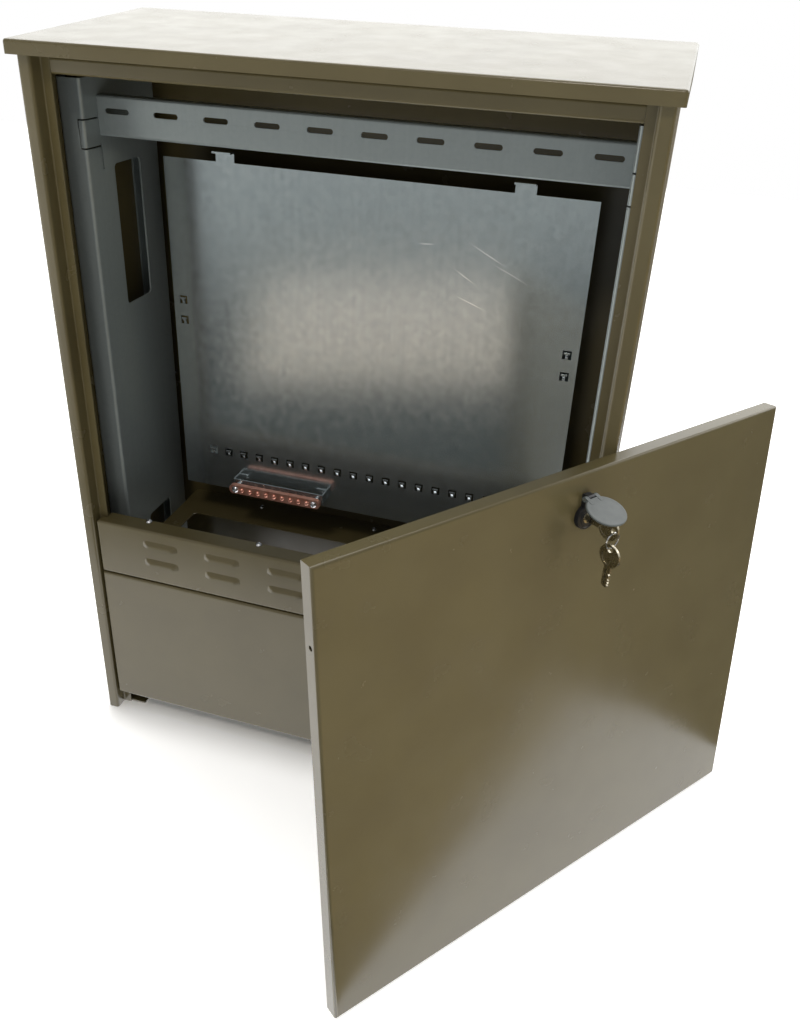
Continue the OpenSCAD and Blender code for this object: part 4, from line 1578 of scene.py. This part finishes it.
    def build(self) -> None:
        """Builds the lock's pieces on their bodies."""
        self.put(self.face(), LOCK_BLACK, Body.CABINET, ["lock_body"])
        self.put(self.barrel_thread(), LOCK_BLACK, Body.CABINET, [])
        self.put(self.nut(), BRIGHT_ZINC, Body.CABINET, ["lock_nut"])
        self.put(self.plug(), NICKEL, Body.PLUG, ["lock_cylinder"])
        self.put(self.cam(), BRIGHT_ZINC, Body.PLUG, ["lock_cam"])
        screw = PanHeadScrew(5.5, 3.0, 2.0, 8.0).build("cam_pan_head_screw")
        place_at(screw, (0, self.plug_end, 0), "Z", math.pi)
        self.put(screw, BRIGHT_ZINC, Body.PLUG, ["cam_screw"])


@dataclass
class DustCover:
    """Round dust cover that hinges above the keyhole and rests on the key's bow."""

    place: LockPlace
    radius: float = 19.0
    thick: float = 2.0
    clear: float = 0.5
    drop: float = 20.5
    knuckle_r: float = 2.6
    arm_in: float = 4.2
    arm_out: float = 8.0
    arm_l: float = 9.0
    rest_angle: float = 69.9
    pin_r: float = 1.0
    pin_play: float = 0.02
    pin_half: float = 8.0
    # The disc's two faces: how far in from its rim, and how far back from its face
    inner_profile: Outline = ((2.4, 0.5), (1.8, 0.0), (0.5, 0.0), (0.0, 0.5))
    outer_profile: Outline = ((0.0, 0.9), (0.3, 0.4), (1.0, 0.15), (2.2, 0.1), (2.8, 0.35),
                              (6.0, 0.2))

    def build(self) -> None:
        """Builds the cover and its pin at rest."""
        r, near, far = self.radius, -self.clear, -self.clear - self.thick
        disc = lathe("lock_dust_cover", [
            (0, near - 0.5), *((r - rim, near - out) for rim, out in self.inner_profile),
            *((r - rim, far + back) for rim, back in self.outer_profile), (0, far)], 72)
        place_at(disc, (0, 0, -self.drop))
        parts = []
        for side in (-1, 1):
            a, b = sorted((side * self.arm_in, side * self.arm_out))
            knuckle = lathe("knuckle", chamfered(self.knuckle_r, a, b, 0.3), 32)
            # The quarter turn mirrors the knuckle's place, and the move brings it back
            parts.append(place_at(knuckle, (a + b, 0, 0), "Z", QUARTER))
            parts.append(prism("arm", [(far, -self.arm_l), (near, -self.arm_l),
                                       (near, 0.0), (far, 0.0)], a, b, "X"))
        combine(disc, parts, Cut.FUSE)
        pin_bore = place_at(bore(self.pin_r + self.pin_play, -9, 9, 24), (0, 0, 0), "Z",
                            QUARTER)
        gap = box("gap", (-self.arm_in, -6, -3.2), (self.arm_in, 6, 6))
        combine(disc, [pin_bore, gap], Cut.TAKE)
        pin = lathe("cover_hinge_pin",
                    chamfered(self.pin_r, -self.pin_half, self.pin_half, 0.25), 24)
        place_at(pin, (0, 0, 0), "Z", QUARTER)
        lift = (self.place.matrix(self.place.hinge)
                @ Matrix.Rotation(math.radians(-self.rest_angle), 4, "X"))
        for piece, finish, node in ((disc, COVER_GREY, "lock_cover"),
                                    (pin, BRIGHT_ZINC, "cover_pin")):
            piece.data.transform(lift)
            hand_over(piece, finish, Body.COVER, [node])


@dataclass
class KeySet:
    """Key in the lock, split ring and spare key."""

    place: LockPlace
    bow_r: float = 11.5
    bow_out: float = 31.0
    thick: float = 2.2
    hole_r: float = 3.0
    hole_out: float = 6.5
    blade: float = 3.8
    ring_r: float = 8.0
    ring_t: float = 2.0
    lean: float = 5.0
    cuts: tuple[float, ...] = (1.6, 0.6, 2.2, 1.2, 2.0)
    cut_step: float = 2.8
    groove_t: float = 0.45
    dish_r: float = 8.6
    dish_in: float = 1.2
    rim_r: float = 4.4
    lock_reach: float = 8.0
    spare_reach: float = 22.0
    ring_turns: float = 1.97
    wire_pack: float = 0.985
    ring_play: float = 0.3

    def blank(self, name: str, end: float) -> bpy.types.Object:
        """One key with its bow's middle at the origin and its blade along +Y.

        Args:
            name: the object's name.
            end: the blade's tip, from the bow's middle, in mm.

        Returns:
            The key.
        """
        side = math.degrees(math.asin(self.blade / self.bow_r))
        bow = arc((0, 0), self.bow_r, side, 360 - side, 44)
        far = self.bow_r + 1.0
        start = end - 2.5 - self.cut_step * len(self.cuts)
        notches = [(start, -self.blade)]
        for i, depth in enumerate(self.cuts):
            middle = start + self.cut_step * (i + 0.5)
            notches += [(middle - 0.5, -self.blade + depth), (middle + 0.5, -self.blade + depth),
                        (start + self.cut_step * (i + 1), -self.blade + 0.3)]
        outline = [*bow, (far, -self.blade), *notches, (end - 1.6, -self.blade + 0.4),
                   (end, -0.6), (end, 0.6), (end - 2.2, self.blade)]
        key = prism(name, outline, -self.thick / 2, self.thick / 2, "X")
        tools = [place_at(bore(self.hole_r, -3, 3, 28), (0, -self.hole_out, 0), "Z", QUARTER)]
        for way in (-1, 1):
            face = way * self.thick / 2
            a, b = sorted((face - way * self.groove_t, face + way * PAST))
            tools.append(box("groove", (a, self.bow_r - 2, -0.2), (b, end + PAST, 1.3)))
            dish = place_at(bore(self.dish_r, a, b, 36), (0, self.dish_in, 0), "Z", -QUARTER)
            low, high = a - 0.5, b + 0.5
            rim = lathe("rim", [(self.hole_r, low), (self.rim_r, low), (self.rim_r, high),
                                (self.hole_r, high)], 28)
            place_at(rim, (0, -self.hole_out, 0), "Z", -QUARTER)
            tools.append(combine(dish, [rim], Cut.TAKE))
        return combine(key, tools, Cut.TAKE)

    def ring(self) -> bpy.types.Object:
        """Winds the split ring from two turns of wire.

        Returns:
            The ring with its middle at the origin.
        """
        wire = self.ring_t / 4
        ring = empty_piece("split_key_ring")
        grow(ring, coil_tree(), {
            "Turns": self.ring_turns, "Radius": self.ring_r * MM,
            "Length": 2 * wire * self.wire_pack * MM,
            "Wire radius": wire * MM, "Points a turn": 56, "Wire sides": 10,
            "Finish": BRIGHT_ZINC.material()})
        return place_at(ring, (0, -wire * self.wire_pack, 0))

    def build(self) -> None:
        """Builds both keys and the ring at rest."""
        key = self.blank("lock_key", self.bow_out + self.lock_reach)
        key.data.transform(self.place.matrix(self.place.axis_point)
                           @ Matrix.Translation((0, -self.bow_out * MM, 0)))
        hand_over(key, NICKEL, Body.PLUG, ["key"])
        plumb = self.place.matrix(self.place.ring_top) @ Matrix.Rotation(
            math.radians(self.lean), 4, "X")
        ring = self.ring()
        ring.data.transform(plumb @ Matrix.Translation((0, 0, -self.ring_r * MM)))
        hand_over(ring, BRIGHT_ZINC, Body.RING, ["key_ring"])
        spare = self.blank("spare_lock_key", self.bow_r + self.spare_reach)
        hang = self.hole_r - self.ring_t / 2 - self.ring_play
        place_at(spare, (0, 0, -(2 * self.ring_r + hang + self.hole_out)), "X", -QUARTER)
        spare.data.transform(plumb)
        hand_over(spare, NICKEL, Body.RING, ["spare_key"])


# ---- Studio ----


@dataclass(frozen=True)
class Softbox:
    """A soft rectangular light that points at a spot."""

    name: str
    place: tuple[float, float, float]
    aim: tuple[float, float, float]
    size: tuple[float, float]
    power: float
    colour: str = "#ffffff"
    turn: float = 0.0

    def build(self) -> None:
        """Makes the light, unseen by the camera itself."""
        data = bpy.data.lights.new(self.name, "AREA")
        data.shape = "RECTANGLE"
        data.size, data.size_y = self.size
        data.energy = self.power
        data.color = linear(self.colour)[:3]
        lamp = bpy.data.objects.new(self.name, data)
        lamp.location = self.place
        lamp.rotation_mode = "QUATERNION"
        facing = (Vector(self.aim) - Vector(self.place)).to_track_quat("-Z", "Y")
        lamp.rotation_quaternion = facing @ Quaternion((0.0, 0.0, 1.0),
                                                       math.radians(self.turn))
        lamp.visible_camera = False
        bpy.context.scene.collection.objects.link(lamp)


@dataclass(frozen=True)
class Wall:
    """One side of the surroundings: its shades from below to above, and where it takes over.

    A shade is a height, from 0 below to 1 above, and its light in linear red, green and blue.
    """

    shades: tuple[tuple[float, tuple[float, float, float]], ...]
    axis: str = "X"
    starts: float = 0.0
    full: float = 0.0


# The room ahead, what stands to the right, the lit window to the left, and the wall behind.
# Each lies over the one before it.
SURROUNDINGS: tuple[Wall, ...] = (
    Wall(((0.0, (0.035, 0.045, 0.045)), (0.335, (0.05, 0.062, 0.062)),
          (0.37, (0.33, 0.35, 0.35)), (0.42, (0.50, 0.52, 0.52)), (0.60, (0.34, 0.34, 0.34)),
          (1.0, (0.70, 0.70, 0.72)))),
    Wall(((0.0, (0.30, 0.23, 0.13)), (0.30, (0.80, 0.60, 0.31)), (0.42, (0.50, 0.40, 0.24)),
          (0.52, (0.30, 0.28, 0.24)), (1.0, (0.70, 0.70, 0.72))), "X", 0.35, 0.75),
    Wall(((0.0, (0.08, 0.08, 0.07)), (0.22, (0.12, 0.12, 0.11)), (0.29, (2.6, 2.55, 2.4)),
          (0.43, (2.6, 2.55, 2.4)), (0.47, (0.3, 0.3, 0.28)), (1.0, (0.6, 0.6, 0.6))),
         "X", -0.52, -0.60),
    Wall(((0.0, (0.05, 0.045, 0.035)), (0.47, (0.25, 0.22, 0.17)), (0.53, (2.2, 2.22, 2.2)),
          (0.62, (2.0, 2.02, 2.0)), (0.70, (1.6, 1.6, 1.6)), (0.75, (4.0, 4.0, 4.0)),
          (0.80, (4.0, 4.0, 4.0)), (0.86, (0.9, 0.9, 0.9)), (1.0, (0.70, 0.70, 0.72))),
         "Y", 0.02, 0.26),
)

LIGHTS: tuple[Softbox, ...] = (
    Softbox("overhead_softbox", (0.0, 0.75, 2.5), (0.0, 0.0, 0.2), (2.2, 1.6), 36.0),
    Softbox("front_softbox", (0.06, -1.55, 2.25), (0.05, 0.0, 0.5), (0.3, 0.3), 10.0,
            "#fff6ea"),
    Softbox("plate_bounce", (-0.385, -1.42, 0.01), (-0.385, -1.42, 1.0), (0.80, 0.86), 1.75,
            "#f7e2cf", 22.0),
)


@dataclass
class Studio:
    """Pale floor sheet, soft lights and the camera."""

    camera_place: tuple[float, float, float] = (0.309805, -0.905399, 0.882257)
    yaw: float = 0.270
    pitch: float = 0.501
    roll: float = 0.050
    lens: float = 31.76
    shift_y: float = -0.0411
    floor_reach: float = 4.0
    foot_half: tuple[float, float] = (0.30, 0.115)
    floor_glow: float = 0.5
    patch: tuple[tuple[float, float], ...] = (
        (0.665, -0.125), (0.63, -0.03), (0.53, 0.06), (0.33, 1.2), (-1.6, 1.2),
        (-1.6, -0.45), (0.05, -0.46), (0.17, -0.415))
    patch_glow: float = 1.8
    sensor: float = 36.0
    clip: tuple[float, float] = (0.05, 30.0)
    floor_z: float = -0.0005
    patch_z: float = -0.0002
    shade_from: float = -0.03
    shade_to: float = 0.05

    def camera(self) -> None:
        """Places the camera by its yaw, pitch and roll."""
        data = bpy.data.cameras.new("camera")
        data.lens, data.sensor_width, data.shift_y = self.lens, self.sensor, self.shift_y
        data.clip_start, data.clip_end = self.clip
        lens = bpy.data.objects.new("camera", data)
        forward = Vector((-math.sin(self.yaw) * math.cos(self.pitch),
                          math.cos(self.yaw) * math.cos(self.pitch), -math.sin(self.pitch)))
        right = Vector((math.cos(self.yaw), math.sin(self.yaw), 0.0))
        up = right.cross(forward)
        side = math.cos(self.roll) * right + math.sin(self.roll) * up
        top = math.cos(self.roll) * up - math.sin(self.roll) * right
        turn = Matrix((side, top, -forward)).transposed().to_4x4()
        lens.matrix_world = Matrix.Translation(self.camera_place) @ turn
        bpy.context.scene.collection.objects.link(lens)
        bpy.context.scene.camera = lens

    def sheet(
        self, name: str, corners: Outline, height: float, paper: Finish, glow: float
    ) -> bpy.types.Object:
        """Lays a flat sheet with a light of its own.

        Args:
            name: the sheet's name.
            corners: its corners in metres.
            height: how high it lies, in metres.
            paper: its finish.
            glow: the light that it gives.

        Returns:
            The sheet.
        """
        mesh = bpy.data.meshes.new(name)
        mesh.from_pydata([(x, y, height) for x, y in corners], [], [range(len(corners))])
        material = paper.material()
        shader = material.node_tree.nodes["Principled BSDF"]
        shader.inputs["Emission Color"].default_value = (1.0, 1.0, 1.0, 1.0)
        shader.inputs["Emission Strength"].default_value = glow
        mesh.materials.append(material)
        made = new_object(name, mesh)
        return made

    def floor(self) -> None:
        """Lays a pale floor, and the bright patch of it that the gloss of the paint shows."""
        reach = self.floor_reach
        floor = self.sheet("floor", [(-reach, -reach), (reach, -reach), (reach, reach),
                                     (-reach, reach)], self.floor_z,
                           Finish("white_seamless_paper", "", "#f4f4f2", "#f0f0ee",
                                  metallic=0.0, roughness=0.85, bump_mm=0.6,
                                  bump_height_mm=0.01), self.floor_glow)
        floor.visible_glossy = False
        self.shade_under(floor.data.materials[0])
        patch = self.sheet("lit_patch", self.patch, self.patch_z,
                           Finish("lit_white_paper", "", "#101010", "#101010", metallic=0.0,
                                  roughness=0.9), self.patch_glow)
        patch.visible_camera = False
        patch.visible_diffuse = False
        patch.visible_shadow = False

    def shade_under(self, material: bpy.types.Material) -> None:
        """Takes the floor's own light away where the cabinet stands and a little past it, which
        is painted shade: a soft shadow round the cabinet's foot.

        Args:
            material: the floor's material.
        """
        tree = material.node_tree
        place = add_node(tree, "ShaderNodeTexCoord").outputs["Object"]
        split = add_node(tree, "ShaderNodeSeparateXYZ", inputs={"Vector": place})
        past = []
        for axis, half in (("X", self.foot_half[0]), ("Y", self.foot_half[1])):
            away = add_node(tree, "ShaderNodeMath", settings={"operation": "ABSOLUTE"},
                            inputs={0: split.outputs[axis]})
            past.append(add_node(tree, "ShaderNodeMath", settings={"operation": "SUBTRACT"},
                                 inputs={0: away.outputs[0], 1: half}).outputs[0])
        edge = add_node(tree, "ShaderNodeMath", settings={"operation": "MAXIMUM"},
                        inputs={0: past[0], 1: past[1]})
        # Painted shadow: the floor's glow fades out towards the footprint's edge and is gone
        # under the cabinet
        glow = add_node(tree, "ShaderNodeMapRange",
                        settings={"interpolation_type": "SMOOTHSTEP"}, inputs={
            "Value": edge.outputs[0], "From Min": self.shade_from, "From Max": self.shade_to,
            "To Min": 0.0, "To Max": self.floor_glow})
        tree.links.new(glow.outputs["Result"],
                       tree.nodes["Principled BSDF"].inputs["Emission Strength"])

    def world(self) -> None:
        """Surroundings: a bright wall behind, a dimmer room in front, brown ground below."""
        world = bpy.data.worlds.new("studio")
        bpy.context.scene.world = world
        world.use_nodes = True
        tree = world.node_tree
        tree.nodes.clear()
        way = add_node(tree, "ShaderNodeTexCoord").outputs["Generated"]
        split = add_node(tree, "ShaderNodeSeparateXYZ", inputs={"Vector": way})
        height = add_node(tree, "ShaderNodeMapRange", inputs={
            "Value": split.outputs["Z"], "From Min": -1.0, "From Max": 1.0})
        seen = add_node(tree, "ShaderNodeBackground",
                        inputs={"Color": (1, 1, 1, 1), "Strength": 1.0})
        room: bpy.types.NodeSocket | None = None
        for wall in SURROUNDINGS:
            shade = add_node(tree, "ShaderNodeValToRGB",
                             inputs={"Fac": height.outputs["Result"]})
            set_ramp(shade, [(place, (*colour, 1.0)) for place, colour in wall.shades])
            if room is None:
                room = shade.outputs["Color"]
                continue
            share = add_node(tree, "ShaderNodeMapRange",
                             settings={"interpolation_type": "SMOOTHSTEP"}, inputs={
                "Value": split.outputs[wall.axis], "From Min": wall.starts,
                "From Max": wall.full})
            room = add_node(tree, "ShaderNodeMix", settings={"data_type": "RGBA"}, inputs={
                0: share.outputs["Result"], 6: room, 7: shade.outputs["Color"]}).outputs[2]
        lit = add_node(tree, "ShaderNodeBackground", inputs={"Color": room})
        path = add_node(tree, "ShaderNodeLightPath")
        mix = add_node(tree, "ShaderNodeMixShader", inputs={
            0: path.outputs["Is Camera Ray"], 1: lit.outputs[0], 2: seen.outputs[0]})
        add_node(tree, "ShaderNodeOutputWorld", inputs={"Surface": mix.outputs[0]})

    def build(self) -> None:
        """Sets up the studio."""
        bpy.context.scene.view_settings.view_transform = "Standard"
        self.floor()
        self.world()
        self.camera()
        for light in LIGHTS:
            light.build()


def main() -> None:
    """Builds the cabinet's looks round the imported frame."""
    logging.basicConfig(level=logging.INFO, format="%(message)s")
    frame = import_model()
    nodes = frame["nodes"]
    Studio().build()
    Shell().build(nodes)
    Steelwork().build(nodes)
    fixings = Fixings()
    VentPanel().build(fixings.ledge_x)
    MountingPlate().build()
    EarthBar().build()
    fixings.build()
    place = LockPlace.from_joints(frame["joints"])
    CamLock(place).build()
    DustCover(place).build()
    KeySet(place).build()


if __name__ == "__main__":
    main()
